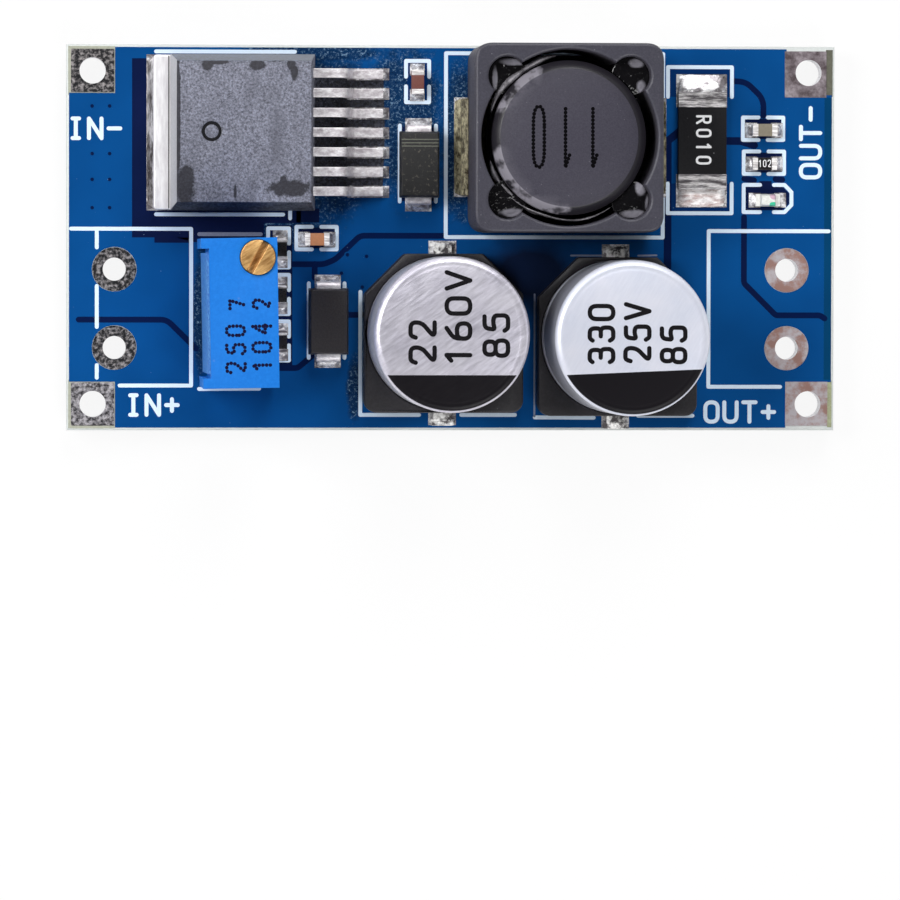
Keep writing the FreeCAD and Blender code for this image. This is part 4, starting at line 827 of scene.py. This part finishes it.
# Thin layers start a little inside the mask or the laminate, so that no two faces share a plane
IN_MASK, IN_LAMINATE = MASK_TOP - 0.01, BOARD_TOP - 0.01
drawing("copper_gaps_front", front_gaps, GAP_WIDTH, IN_MASK, MASK_TOP + 0.004, GAP)
shunt_gaps = [[(14.9, 7.0), (14.1, 6.35), (14.1, -1.9)], [(17.9, 6.36), (18.9, 6.35), (19.75, 6.08)]]
drawing("copper_gap_shunt", shunt_gaps, 0.5, IN_MASK, MASK_TOP + 0.005, GAP)
plate("copper_margin", [[(24.35, 9.2), (BOARD_X - SNAP, 9.2), (BOARD_X - SNAP, -9.2), (24.35, -9.2)]],
      IN_MASK, MASK_TOP + 0.003, MARGIN)
margins = [("olive_margin_top", [frame_outline(24.44, 9.25, BOARD_X - 0.12, 12.3)], LAMINATE_OLIVE),
           ("olive_margin_bottom", [frame_outline(24.58, -12.3, BOARD_X - 0.12, -9.25)], LAMINATE_GREEN)]
for index, (x, y) in enumerate(CORNERS[:2]):
    bare = [frame_outline(x - 1.58, y - 1.58, x + 1.45, y + 1.58), ring(x, y, CORNER_BORE + PLATING)]
    margins.append(("pale_margin_%d" % index, bare, LAMINATE_PALE))
for name, outlines, material in margins:
    plate(name, outlines, IN_LAMINATE, BOARD_TOP + 0.004, material)
# Painted shade: dark plates of mask beside the regulator, round the trimmer's chips and inside the frames of
# the catch diode, the chips and the lamp
shade_outlines = [
    [(-20.75, 11.6), (-19.7, 11.6), (-19.7, 1.75), (-9.8, 1.75), (-9.8, 0.95), (-12.2, 0.95), (-12.2, -0.3),
     (-16.7, -0.3), (-17.9, 0.0), (-20.75, 0.0)],
    [(-10.1, 1.9), (-8.6, 1.9), (-8.6, 1.0), (-10.1, 1.0)],
    [(-11.95, 0.8), (-10.35, 0.8), (-10.35, -8.3), (-11.95, -8.3)],
    [(-3.3, 7.2), (-1.0, 7.2), (-1.0, 2.4), (-3.3, 2.4)], frame_outline(-19.3, -0.34, -17.05, 0.0),
    frame_outline(19.1, 6.5, 21.56, 7.8), frame_outline(19.16, 4.3, 21.62, 5.6),
    frame_outline(-10.0, -0.68, -7.56, 0.66),
    [(19.15, 1.85), (21.6, 1.85), (22.05, 2.3), (22.05, 2.95), (21.6, 3.4), (20.9, 3.4), (20.9, 3.75),
     (20.1, 3.75), (20.1, 3.4), (19.15, 3.4)],
]
for index, outline in enumerate(shade_outlines):
    plate("painted_shade_patch_%d" % index, [outline], IN_MASK, MASK_TOP + 0.003, SHADE)
# Painted shade, lighter: darker mask inside the frames round the shunt's ends and the bypass capacitor
for index, corners in enumerate([(14.2, 9.22, 18.18, 11.05), (14.2, 1.75, 18.18, 3.58),
                                 (-2.9, 9.0, -1.56, 11.4)]):
    plate("round_pads_%d" % index, [frame_outline(*corners)], IN_MASK, MASK_TOP + 0.002, LIGHT_PAINTED_SHADE)

# Copper gaps on the back, in the frame of the part like those on the front
back_gaps = [
    rounded([(-19.05, -12.2), (-19.05, -5.4), (-23.8, -5.4)], 0.9),
    rounded([(18.7, -11.9), (18.7, -4.85), (24.5, -4.85)], 1.0),
    (rounded([(-18.75, 1.97), (-10.75, 1.97), (-10.75, 4.5), (-9.4, 5.9), (-6.7, 5.9), (-6.3, 7.0),
              (-11.2, 11.65), (-18.75, 11.65)], 0.9, True), True),
    rounded([(-9.9, 10.6), (-9.9, 10.5), (-5.95, 6.7), (-5.95, -4.35), (-0.1, -4.35), (-0.1, 9.95),
             (-1.85, 11.9)], 0.8),
    rounded([(-9.9, 10.3), (-9.7, 11.6), (-8.6, 12.1)], 0.5),
]
drawing("copper_gaps_back", back_gaps, GAP_WIDTH, -0.0292, -0.012, GAP)


def via_grid(x0, x1, columns, y0, y1, rows):
    return [(x0 + (x1 - x0) * i / max(1, columns - 1), y0 + (y1 - y0) * j / max(1, rows - 1))
            for i in range(columns) for j in range(rows)]


front_vias = via_grid(-23.33, -22.2, 2, 1.92, 1.92, 1) + via_grid(-23.33, -22.2, 2, 8.5, 8.5, 1) \
    + via_grid(-23.33, -22.2, 2, 5.42, 3.75, 2) + [(-6.77, -1.1), (-5.53, -1.2), (-7.16, -2.3), (-5.8, -3.2)]
back_vias = via_grid(-18.0, -11.62, 5, 2.75, 10.42, 5) + via_grid(-10.36, -7.8, 4, 6.9, 6.9, 1) \
    + via_grid(-5.2, -2.72, 3, -3.5, -1.02, 3) + via_grid(-9.0, -4.1, 6, 11.38, 11.4, 1) \
    + via_grid(1.93, 8.27, 5, -10.34, -10.28, 1) + via_grid(-1.7, 5.65, 6, -7.1, -7.05, 1) \
    + via_grid(-23.2, -21.9, 2, 1.9, 5.5, 3) + via_grid(-23.2, -22.1, 2, 8.64, 8.64, 1) \
    + [(-6.8, 1.1), (-6.95, 1.97), (-7.2, 3.13), (-4.07, 10.85), (-3.25, 10.85), (-3.25, 11.35)]


def vias(name, spots, low, high, pit_high):
    """Tented vias: a small dark pit with a raised rim of mask."""
    for part, radii, top, material in (("_rims", (0.21, 0.12), high, MASK), ("_pits", (0.125,), pit_high, GAP)):
        outlines = [[ring(x, y, radius, 16) for radius in radii] for x, y in spots]
        slabs = [plate(name + part, outline, low, top, material, steps=0) for outline in outlines]
        merged(name + part, slabs)


vias("front_via", front_vias, IN_MASK, MASK_TOP + 0.012, MASK_TOP + 0.006)
vias("back_via", back_vias, -0.034, -0.02, -0.02)


# Silkscreen
def chip_frame(x, y, half_x, half_y, gap, upright):
    """A chip outline that is open at the middle of two sides."""
    if upright:
        corners = ((-half_x, gap), (-half_x, half_y), (half_x, half_y), (half_x, gap))
        return [[(x + u, y + v * side) for u, v in corners] for side in (-1, 1)]
    corners = ((gap, -half_y), (half_x, -half_y), (half_x, half_y), (gap, half_y))
    return [[(x + u * side, y + v) for u, v in corners] for side in (-1, 1)]


silk = chip_frame(-2.23, 10.15, 0.75, 1.34, 0.31, True)
silk += chip_frame(20.33, 7.16, 1.32, 0.73, 0.3, False)
silk += chip_frame(20.39, 4.95, 1.32, 0.73, 0.3, False)
silk += chip_frame(-8.78, -0.02, 1.31, 0.73, 0.3, False)
for trio_y in (-0.66, -3.68, -6.7):
    silk += chip_frame(-11.25, trio_y, 0.68, 1.27, 0.28, True)
silk += [
    [(20.15, 3.5), (19.07, 3.5), (19.07, 1.73), (20.15, 1.73)],
    [(21.05, 3.5), (21.75, 3.5), (22.2, 3.03), (22.2, 2.2), (21.75, 1.73), (21.05, 1.73)],
    [(-3.38, 7.3), (-3.38, 2.36)], [(-1.03, 7.3), (-1.03, 6.95)], [(-1.03, 2.7), (-1.03, 2.36)],
    [(-9.28, -2.95), (-9.28, -7.8)], [(-6.96, -2.95), (-6.96, -3.35)], [(-6.96, -7.4), (-6.96, -7.8)],
    (frame_outline(-0.38, 0.06, 13.78, 12.0), True),
    [(14.1, 9.22), (14.1, 11.15), (18.28, 11.15), (18.28, 9.22)],
    [(14.1, 3.58), (14.1, 1.65), (18.28, 1.65), (18.28, 3.58)],
    [(-24.7, 0.56), (-16.92, 0.56), (-16.92, -9.6), (-21.55, -9.6)],
    [(-23.03, 0.56), (-23.03, -0.65)], [(-23.03, -3.15), (-23.03, -5.8)], [(-23.03, -8.28), (-23.03, -9.1)],
    [(24.65, 0.49), (16.79, 0.49), (16.79, -9.66), (21.5, -9.66)],
    [(-5.93, -3.5), (-5.93, -11.5), (-2.1, -11.5)], [(0.65, -11.5), (4.15, -11.5)],
    [(5.45, -11.66), (9.3, -11.68)], [(12.2, -11.55), (15.76, -11.55)], [(-16.4, -9.82), (-12.5, -9.8)],
    [(-19.2, 1.5), (-10.95, 1.5)], [(-10.5, 1.75), (-10.5, 1.25)], [(-19.2, 12.05), (-10.2, 12.05)],
]
INK_LOW, INK_HIGH = MASK_TOP - 0.005, MASK_TOP + 0.012
drawing("silkscreen_lines", silk, INK, INK_LOW, INK_HIGH, SILK)
# Painted shade: silk lines that lie in shadow are drawn in a dim ink
drawing("silkscreen_in_shade", [[(-16.4, 0.22), (-12.4, 0.22)]], INK, INK_LOW, INK_HIGH, SILK_DIM)
drawing("silkscreen_thin_lines_in_shade",
        [[(5.42, -3.65), (5.42, -11.6)], [(7.8, -1.12), (9.78, -1.12)], [(12.18, -1.12), (13.38, -1.1)]],
        0.12, INK_LOW, INK_HIGH, SILK_DIM)
legends = lettering("IN-", -24.78, 6.42, 1.27, 0, 1.03) + lettering("IN+", -21.05, -11.5, 1.27, 0, 1.03) \
    + lettering("OUT+", 16.6, -11.94, 1.27, 0, 1.03) + lettering("OUT-", 24.08, 4.0, 1.27, 90, 1.03)
drawing("silkscreen_legends", legends, 0.26, INK_LOW, INK_HIGH, SILK)

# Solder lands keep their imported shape
restyle("solder_lands", SOLDER)

# Regulator
REGULATOR_X, REGULATOR_Y = -13.62, 6.8
MOULDING_HALF = 4.675
LEAD_PITCH = 1.27
TAB_TOP = LAND_TOP + 1.27
regulator_left, regulator_right = REGULATOR_X - MOULDING_HALF, REGULATOR_X + MOULDING_HALF
tab_left = REGULATOR_X - 5.775
lead_rows = [(row, REGULATOR_Y + LEAD_PITCH * row) for row in range(-3, 4)]
flux_outline = rounded([(-8.95, 2.8), (-4.5, 2.7), (-4.35, 6.8), (-4.45, 10.8), (-8.95, 10.75)], 0.3, True)
plate("dried_flux_sheet", [flux_outline], IN_MASK, MASK_TOP + 0.006, FLUX_SHEET)
moulding = soften("regulator_body", MOULDING, 0.1)
# Painted light and shade: the left face is pale, the far face grey and the near face dark, as the light falls
coat(moulding, DRAFT_PAINTED_LIGHT, lambda normal: normal.x < -0.5)
coat(moulding, DRAFT_PAINTED_HALF_SHADE, lambda normal: normal.y > 0.5)
coat(moulding, DRAFT_PAINTED_SHADE, lambda normal: normal.y < -0.5)
mark = (regulator_left + 2.59, REGULATOR_Y)
lathe("ejector_mark_centre", [(0.46, 5.9), (0.46, 6.03), (0.4, 6.07), (0.0, 6.07)], mark, MOULDING,
      segments=32)
# Painted shadow: the moat round the ejector mark is dark as the shade inside it
plate("ejector_mark_moat", [ring(*mark, 0.64, 32), ring(*mark, 0.44, 32)], 5.9, 6.06, MOAT_PAINTED_SHADOW)
tab_outline = frame_outline(tab_left, REGULATOR_Y - 5, REGULATOR_X + 3.0, REGULATOR_Y + 5, 0.25, 4)
tab = plate("regulator_tab_rounded", [tab_outline], LAND_TOP, TAB_TOP, TAB_TIN, 0.12)
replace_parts(tab, "regulator_heat_tab")
# Painted shadow: a thin dark line on the tab where it runs under the moulding
painted_shadow_line = [(-18.4, REGULATOR_Y - 4.9), (-18.4, REGULATOR_Y + 4.9)]
drawing("painted_shadow_line_on_tab", [painted_shadow_line], 0.08, TAB_TOP - 0.01, TAB_TOP + 0.006, TAB_PAINTED_SHADOW)
lead_outline = ribbon(rounded([(-0.6, 2.55), (1.85, 2.55), (2.3, 0.25), (4.45, 0.25)], 0.42), 0.5)
leads = merged("regulator_leads_bent", [
    side_profile("lead_%d" % row, lead_outline, 0.6, (regulator_right, y, LAND_TOP), 0, TIN, 0.06)
    for row, y in lead_rows])
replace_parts(leads, "regulator_leads")
beads = [(regulator_right + 4.45, y, 0, 0.66, 0.42, 0.4, row + 20) for row, y in lead_rows]
tab_bead = (tab_left, REGULATOR_Y, 180, 9.8, 0.4, 1.0, 3, LAND_TOP, (40, 8))
solder_set("regulator_joints", "regulator_solder", beads, SOLDER, [tab_bead], TAB_SOLDER)

# Diodes
CATCH_X, CATCH_Y = -2.17, 4.75
diode_lead = ribbon(rounded([(2.0, 1.05), (2.5, 1.05), (2.5, 0.1), (0.9, 0.1)], 0.3), 0.2)
diode_beads = []
for label, x, y, material in (("catch", CATCH_X, CATCH_Y, DIODE_FLUXED),
                              ("input", -8.05, -5.42, DIODE_BLACK)):
    soften(label + "_diode_body", material, 0.09)
    pair = [side_profile("%s_lead_%d" % (label, turn), diode_lead, 1.55, (x, y, LAND_TOP), turn, TIN, 0.03)
            for turn in (90, -90)]
    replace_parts(merged(label + "_diode_bent_leads", pair), label + "_diode_leads")
    diode_beads += [(x, y + s * 2.6, 90 * s, 1.6, 0.42, 0.55, len(diode_beads) + k)
                    for k, s in enumerate((1, -1))]
solder_set("diode_joints", "diode_solder", diode_beads)
band = [[(CATCH_X - 1.19, CATCH_Y + v), (CATCH_X + 1.19, CATCH_Y + v)] for v in (1.18, 1.39, 1.61)]
drawing("catch_diode_band", band, 0.07, 3.735, 3.752, BAND_INK)

# Inductor
COIL_X, COIL_Y, COIL_Z = 7.07, 6.4, 1.85
SHIELD_TOP = COIL_Z + 7.45


def shield_opening():
    """The bore with its four lobes as one outline."""
    radius, lobe, offset = 5.65, 1.25, 3.95
    reach = offset * math.sqrt(2)
    meet = math.acos((reach ** 2 + radius ** 2 - lobe ** 2) / (2 * reach * radius))
    spread = math.acos((reach ** 2 + lobe ** 2 - radius ** 2) / (2 * reach * lobe))
    outline = []
    for corner in (45, 135, 225, 315):
        start, end = corner - 90 + math.degrees(meet), corner - math.degrees(meet)
        outline += arc(COIL_X, COIL_Y, radius, start, end, 16)[:-1]
        x = COIL_X + offset * (1 if corner in (45, 315) else -1)
        y = COIL_Y + offset * (1 if corner in (45, 135) else -1)
        half = 180 - math.degrees(spread)
        outline += arc(x, y, lobe, corner - half, corner + half, 18)[:-1]
    return outline


shield_outline = frame_outline(COIL_X - 6.05, COIL_Y - 6.05, COIL_X + 6.05, COIL_Y + 6.05, 1.15, 10)
shield = plate("inductor_shield_rounded", [shield_outline, shield_opening()],
               COIL_Z, SHIELD_TOP, SHIELD, 0.18)
coat(shield, SHIELD_SIDE, lambda normal: abs(normal.z) < 0.3)
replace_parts(shield, "inductor_shield")
# Painted shade: a black sheet under the inductor, seen through the gap round the drum as deep shadow
shade = frame_outline(COIL_X - 5.9, COIL_Y - 5.5, COIL_X + 5.9, COIL_Y + 5.5, 1.0)
plate("shade_under_coil", [shade], IN_MASK, MASK_TOP + 0.006, BLACK_INK_AND_PAINTED_SHADE)
NECK, FLANGE, FLANGE_HIGH = 2.3, 4.95, 1.4
core_top = COIL_Z + 7.2
wound_low, wound_high = COIL_Z + FLANGE_HIGH, core_top - FLANGE_HIGH
drum_profile = [(0, COIL_Z), (FLANGE, COIL_Z), (FLANGE, wound_low), (NECK, wound_low), (NECK, wound_high),
                (FLANGE, wound_high), (FLANGE, core_top - 0.42), (4.9, core_top - 0.34),
                (4.5, core_top - 0.05), (4.4, core_top), (0, core_top)]
drum = lathe("inductor_drum", drum_profile, (COIL_X, COIL_Y), FERRITE, segments=96)
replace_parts(drum, "inductor_core")
turns = [(4.42 + 0.08 * math.sin(math.pi * (k % 6) / 5), wound_low + 4.4 * k / 59) for k in range(60)]
coil_profile = [(NECK, wound_low)] + turns + [(NECK, wound_high)]
coil = lathe("inductor_coil", coil_profile, (COIL_X, COIL_Y), WIRE, segments=64)
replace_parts(coil, "inductor_winding")
dots = dotted(lettering("110", COIL_X + 1.9, COIL_Y + 2.0, 3.9, 180, 0.3, 1.5), 0.24)
drawing("inductor_dots", dots, 0.25, core_top - 0.01, core_top + 0.008, INK_DOTS)
soften("inductor_glue", GLUE, 0.12)


def glue_run(name, start, end, inner, outer, low, high, seed):
    """A lumpy run of glue in the gap round the drum, between two angles; its pale grey is partly a painted
    highlight.
    """
    chance = random.Random(seed)
    phases = [chance.uniform(0, 6.28) for _ in range(3)]
    points, faces = [], []
    steps, across = 36, 5
    for i in range(steps + 1):
        t = i / steps
        angle = math.radians(start + (end - start) * t)
        fade = math.sin(math.pi * t) ** 0.5
        middle = (inner + outer) / 2 + 0.06 * math.sin(9 * t + phases[0])
        half = (outer - inner) / 2 * fade * (1 + 0.2 * math.sin(14 * t + phases[1]))
        for j in range(across + 1):
            v = j / across * 2 - 1
            radius = middle + half * v
            height = low + (high - low) * fade * (1 - v * v) * (1 + 0.25 * math.sin(17 * t + phases[2]))
            points.append((COIL_X + radius * math.cos(angle), COIL_Y + radius * math.sin(angle), height))
    for i in range(steps):
        for j in range(across):
            a = i * (across + 1) + j
            faces.append((a, a + 1, a + across + 2, a + across + 1))
    return from_lists(name, points, faces, GLUE_WITH_PAINTED_HIGHLIGHT, sharp=80)


# Glue runs on the left and near sides of the gap, whose pale grey also paints the highlight of the chamfers
glue_run("glue_run_far", 98, 162, 5.0, 5.5, 8.1, 8.7, 1)
glue_run("glue_run_near", 196, 250, 5.02, 5.4, 7.9, 8.4, 2)
glue_run("glue_ridge_near", 224, 303, 5.16, 5.34, 8.2, 8.75, 3)
clips = soften("inductor_terminals", CLIP_TIN, 0.05)
# Painted shade: the faces of the right clip take the dark tin, as in shadow
clips.data.materials.append(CLIP_DARK)
for face in clips.data.polygons:
    if face.center.x > COIL_X * MM:
        face.material_index = 1
clip_beads = [(COIL_X + s * 6.5, COIL_Y - 0.5, 0 if s > 0 else 180, 6.3, 0.42, 0.42, k, LAND_TOP, (24, 6))
              for k, s in enumerate((-1, 1))]
solder_set("inductor_joints", "inductor_solder", clip_beads, CLIP_TIN)

# Electrolytic capacitors
CAN_FOOT = 2.45
CAN_TOP = BOARD_TOP + 10.45
CAN_FACE = CAN_TOP - 0.045


def electrolytic(label, x, y, can, side, tilt):
    """Can with a rolled rim and a crimp above its base. Gives back the lean that its marks share."""
    rim, radius = 0.45, 4.975
    profile = [(0, CAN_FOOT), (4.9, CAN_FOOT), (radius, 2.55), (radius, 3.75), (4.9, 3.95), (4.72, 4.15),
               (4.66, 4.3), (4.72, 4.45), (4.9, 4.58), (radius, 4.7)]
    profile += arc(radius - rim, CAN_TOP - rim, rim, 0, 90)
    profile += [(radius - 0.62, CAN_TOP - 0.02), (radius - 0.72, CAN_FACE), (0, CAN_FACE)]
    foot = Matrix.Translation((x * MM, y * MM, CAN_FOOT * MM))
    lean = foot @ Matrix.Rotation(math.radians(tilt), 4, "Y") @ foot.inverted()
    body = lathe(label + "_can_turned", profile, (x, y), can, segments=120, turn=lean)
    coat(body, side, lambda normal: abs(normal.z) < 0.2)
    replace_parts(body, label + "_can")
    return lean


capacitors = (
    ("input_capacitor", -0.6, -6.17, CAN_ONE, CAN_SIDE_ONE, 0.0, 1.07,
     (("22", -1.72, -7.95), ("160V", 0.54, -8.01), ("85", 2.95, -7.5))),
    ("output_capacitor", 10.7, -6.38, CAN_TWO, CAN_SIDE_TWO, 1.3, 0.92,
     (("330", 9.43, -7.9), ("25V", 11.74, -7.84), ("85", 14.04, -7.9))),
)
leans = [electrolytic(*capacitor[:6]) for capacitor in capacitors]
for lean, (label, *_, width, words) in zip(leans, capacitors):
    marks = [line for word, *start in words for line in lettering(word, *start, 1.5, 90, width, 0.99)]
    drawing(label + "_marks", marks, 0.28, CAN_FACE - 0.01, CAN_FACE + 0.012, BLACK_INK_AND_PAINTED_SHADE, turn=lean)
capacitor_beads = []
for label, x, y, *_ in capacitors:
    soften(label + "_base", BASE_BLACK, 0.12)
    soften(label + "_leads", CAP_TIN, 0.04)
    capacitor_beads += [(x, y - 5.62, -90, 1.7, 0.42, 0.36, 40), (x, y + 5.62, 90, 1.7, 0.24, 0.36, 41)]
solder_set("capacitor_joints", "capacitor_solder", capacitor_beads, CAP_TIN)

# Shunt and chips
SHUNT_X, SHUNT_Y = 16.3, 6.36
SHUNT_TOP, CHIP_TOP, TRIMMER_TOP = 2.3, 2.15, 11.9
INK_SUNK, INK_RAISED = 0.005, 0.008
soften("shunt_body", SHUNT_BLACK, 0.05)
soften("shunt_terminals", SHUNT_TIN_AND_PAINTED_SHADE, 0.05)
drawing("shunt_marks", lettering("R010", 15.94, 7.94, 0.88, -90, 0.8, 1.25), 0.15,
        SHUNT_TOP - INK_SUNK, SHUNT_TOP + INK_RAISED, WHITE_INK)
far_bead, near_bead = [(SHUNT_X, SHUNT_Y + s * 3.17, 90 * s, 3.1, 1.12, 0.46, 60 + s, LAND_TOP, (20, 10))
                       for s in (1, -1)]
solder_set("shunt_joints", "shunt_solder", [far_bead], SOLDER, [near_bead], LOW_SOLDER)

# Each chip with the finishes of its body and of its end caps; the divider resistors beside the trimmer take the
# darker shunt tin as painted shade
chips = {
    "bypass_capacitor": (BROWN_CHIP, END_CAP),
    "input_chip_capacitor": (TAN_CHIP, END_CAP),
    "output_chip_capacitor": (GREY_CHIP, END_CAP),
    "lamp_resistor": (RESISTOR, END_CAP),
    "upper_divider_resistor": (RESISTOR, SHUNT_TIN_AND_PAINTED_SHADE),
    "middle_divider_resistor": (RESISTOR, SHUNT_TIN_AND_PAINTED_SHADE),
    "lower_divider_resistor": (RESISTOR, SHUNT_TIN_AND_PAINTED_SHADE),
    "indicator_lamp": (LAMP_BODY, LAMP_CAP),
}
CHIP_REACH = 0.78
chip_beads = []
for seed, (chip, (material, cap)) in enumerate(chips.items()):
    soften(chip + "_body", material, 0.03)
    soften(chip + "_terminals", cap, 0.03)
    low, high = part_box(chip + "_terminals")
    x, y = (low[0] + high[0]) / 2 / MM, (low[1] + high[1]) / 2 / MM
    tall = (high[2] - low[2]) / MM
    upright = high[1] - low[1] > high[0] - low[0]
    for s in (-1, 1):
        turn = (90 if upright else 0) + (0 if s > 0 else 180)
        spot = (x, y + s * CHIP_REACH) if upright else (x + s * CHIP_REACH, y)
        chip_beads.append((*spot, turn, 0.84, 0.42, tall * 0.75, 80 + seed * 2 + s))
solder_set("chip_joints", "chip_solder", chip_beads)
soften("indicator_lamp_lens", LAMP_LENS, 0.06)
drawing("lamp_resistor_marks", lettering("102", 20.0, 4.68, 0.42, 0, 0.68, 1.05), 0.055,
        CHIP_TOP - INK_SUNK, CHIP_TOP + INK_RAISED, WHITE_INK)

# Trimmer
soften("trimmer_housing", BLUE, 0.1)
soften("trimmer_potting", POTTING, 0.05)
potting_outline = rounded([(-0.12, 0.4), (-0.3, 0.5), (-0.26, 4.0), (-0.14, 8.6), (0.1, 9.4), (0.1, 0.4)],
                          0.2, True)
side_profile("potting_bulge", potting_outline, 7.7, (-15.955, -4.85, BOARD_TOP), 1.0, POTTING, 0.03)
for node, material in (("trimmer_element", CERAMIC), ("trimmer_pins", TIN), ("trimmer_seal", RUBBER),
                       ("trimmer_wheel", NYLON), ("trimmer_wiper", SPRING)):
    restyle(node, material)
soften("trimmer_screw", BRASS, 0.05, body="screw")
dome = [(0.0, -0.84), (0.22, -0.82), (0.45, -0.72), (0.66, -0.52), (0.8, -0.26), (0.845, -0.05), (0.85, 0.0)]
pin_joints = [lathe("joint", dome, spot, DOME_SOLDER, segments=40) for spot in TRIMMER_PINS]
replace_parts(merged("trimmer_joints", pin_joints), "trimmer_solder")
trimmer_place = Matrix.Translation((TRIMMER_X * MM, TRIMMER_Y * MM, 0))
trimmer_place = trimmer_place @ Matrix.Rotation(TRIMMER_LEAN, 4, "Z")
trimmer_marks = []
for word, x, y, height in (("250", 0.25, -3.75, 1.15), ("104", 1.9, -3.65, 1.15),
                           ("7", 0.35, 0.3, 1.0), ("2", 1.85, 0.3, 1.0)):
    trimmer_marks += dotted(lettering(word, x, y, height, 90, 0.85, 1.2), 0.235)
drawing("trimmer_marks", trimmer_marks, 0.23, TRIMMER_TOP - INK_SUNK, TRIMMER_TOP + INK_RAISED, INK_BLUE,
        turn=trimmer_place)


# Floor, light and camera
def seen_directly(tree, path):
    """One for the rays that bring what the camera sees, also through a clear piece."""
    return combine(tree, "MAXIMUM", path["Is Camera Ray"], path["Is Transmission Ray"])


def stage_floor():
    """A pale floor under the module that still takes its shadow."""
    size, low = 1.5, -0.00086
    mesh = bpy.data.meshes.new("floor")
    corners = [(-size, -size, low), (size, -size, low), (size, size, low), (-size, size, low)]
    mesh.from_pydata(corners, [], [(0, 1, 2, 3)])
    floor = bpy.data.objects.new("floor", mesh)
    bpy.context.scene.collection.objects.link(floor)
    material = bpy.data.materials.new("pale_floor")
    material.use_nodes = True
    tree = material.node_tree
    shader = tree.nodes["Principled BSDF"]
    shader.inputs["Base Color"].default_value = grey(0.9)
    shader.inputs["Roughness"].default_value = 0.9
    shader.inputs["Specular IOR Level"].default_value = 0.0
    path = add_node(tree, "LightPath").outputs
    shown = combine(tree, "MAXIMUM", path["Is Glossy Ray"], seen_directly(tree, path))
    glow = add_node(tree, "Emission", {"Color": grey(1)}).outputs[0]
    blend = add_node(tree, "MixShader",
                     {0: combine(tree, "MULTIPLY", shown, 0.9), 1: shader.outputs[0], 2: glow})
    feed(tree, blend.outputs[0], tree.nodes["Material Output"].inputs["Surface"])
    mesh.materials.append(material)


def blended(tree, factor, low, high):
    """A number between two others."""
    feeds = {"Factor": factor, "A": low, "B": high}
    return add_node(tree, "Mix", feeds, data_type="FLOAT").outputs["Result"]


def studio_world():
    """White to the camera, and dim to most other rays. Glossy ones see white walls under a dark ceiling."""
    world = bpy.data.worlds.new("studio")
    bpy.context.scene.world = world
    world.use_nodes = True
    tree = world.node_tree
    path = add_node(tree, "LightPath").outputs
    place = add_node(tree, "TexCoord").outputs["Generated"]
    height = add_node(tree, "SeparateXYZ", {0: place}).outputs["Z"]
    stops = {"From Min": 0.35, "From Max": 0.75, "To Min": 1.0, "To Max": 0.05}
    walls = add_node(tree, "MapRange", {**stops, "Value": height}).outputs["Result"]
    unseen = blended(tree, path["Is Glossy Ray"], 0.03, walls)
    strength = blended(tree, seen_directly(tree, path), unseen, 1.0)
    background = tree.nodes["Background"].inputs
    feed(tree, grey(1), background["Color"])
    feed(tree, strength, background["Strength"])


def softbox(name, spot, size, watts):
    """A square lamp that looks at the module."""
    lamp = bpy.data.lights.new(name, "AREA")
    lamp.shape = "SQUARE"
    lamp.size = size
    lamp.energy = watts
    holder = bpy.data.objects.new(name, lamp)
    holder.location = spot
    holder.rotation_euler = Vector(spot).to_track_quat("Z", "Y").to_euler()
    bpy.context.scene.collection.objects.link(holder)


stage_floor()
studio_world()
softbox("softbox_left", (-0.32, 0.12, 0.38), 0.24, 1.9)
softbox("softbox_top", (0.06, 0.36, 0.36), 0.24, 1.3)
softbox("softbox_near", (0.14, -0.32, 0.38), 0.3, 1.3)

camera_data = bpy.data.cameras.new("photo_camera")
camera_data.lens = 261.62
camera_data.sensor_width = 36
camera_data.clip_start = 0.01
camera = bpy.data.objects.new("photo_camera", camera_data)
camera.location = (-0.0267713, -0.0016984, 0.4261717)
camera.rotation_euler = Euler([math.radians(a) for a in (-1.63371, -3.59502, 0.09961)], "XYZ")
bpy.context.scene.collection.objects.link(camera)
bpy.context.scene.camera = camera
bpy.context.scene.view_settings.view_transform = "Standard"
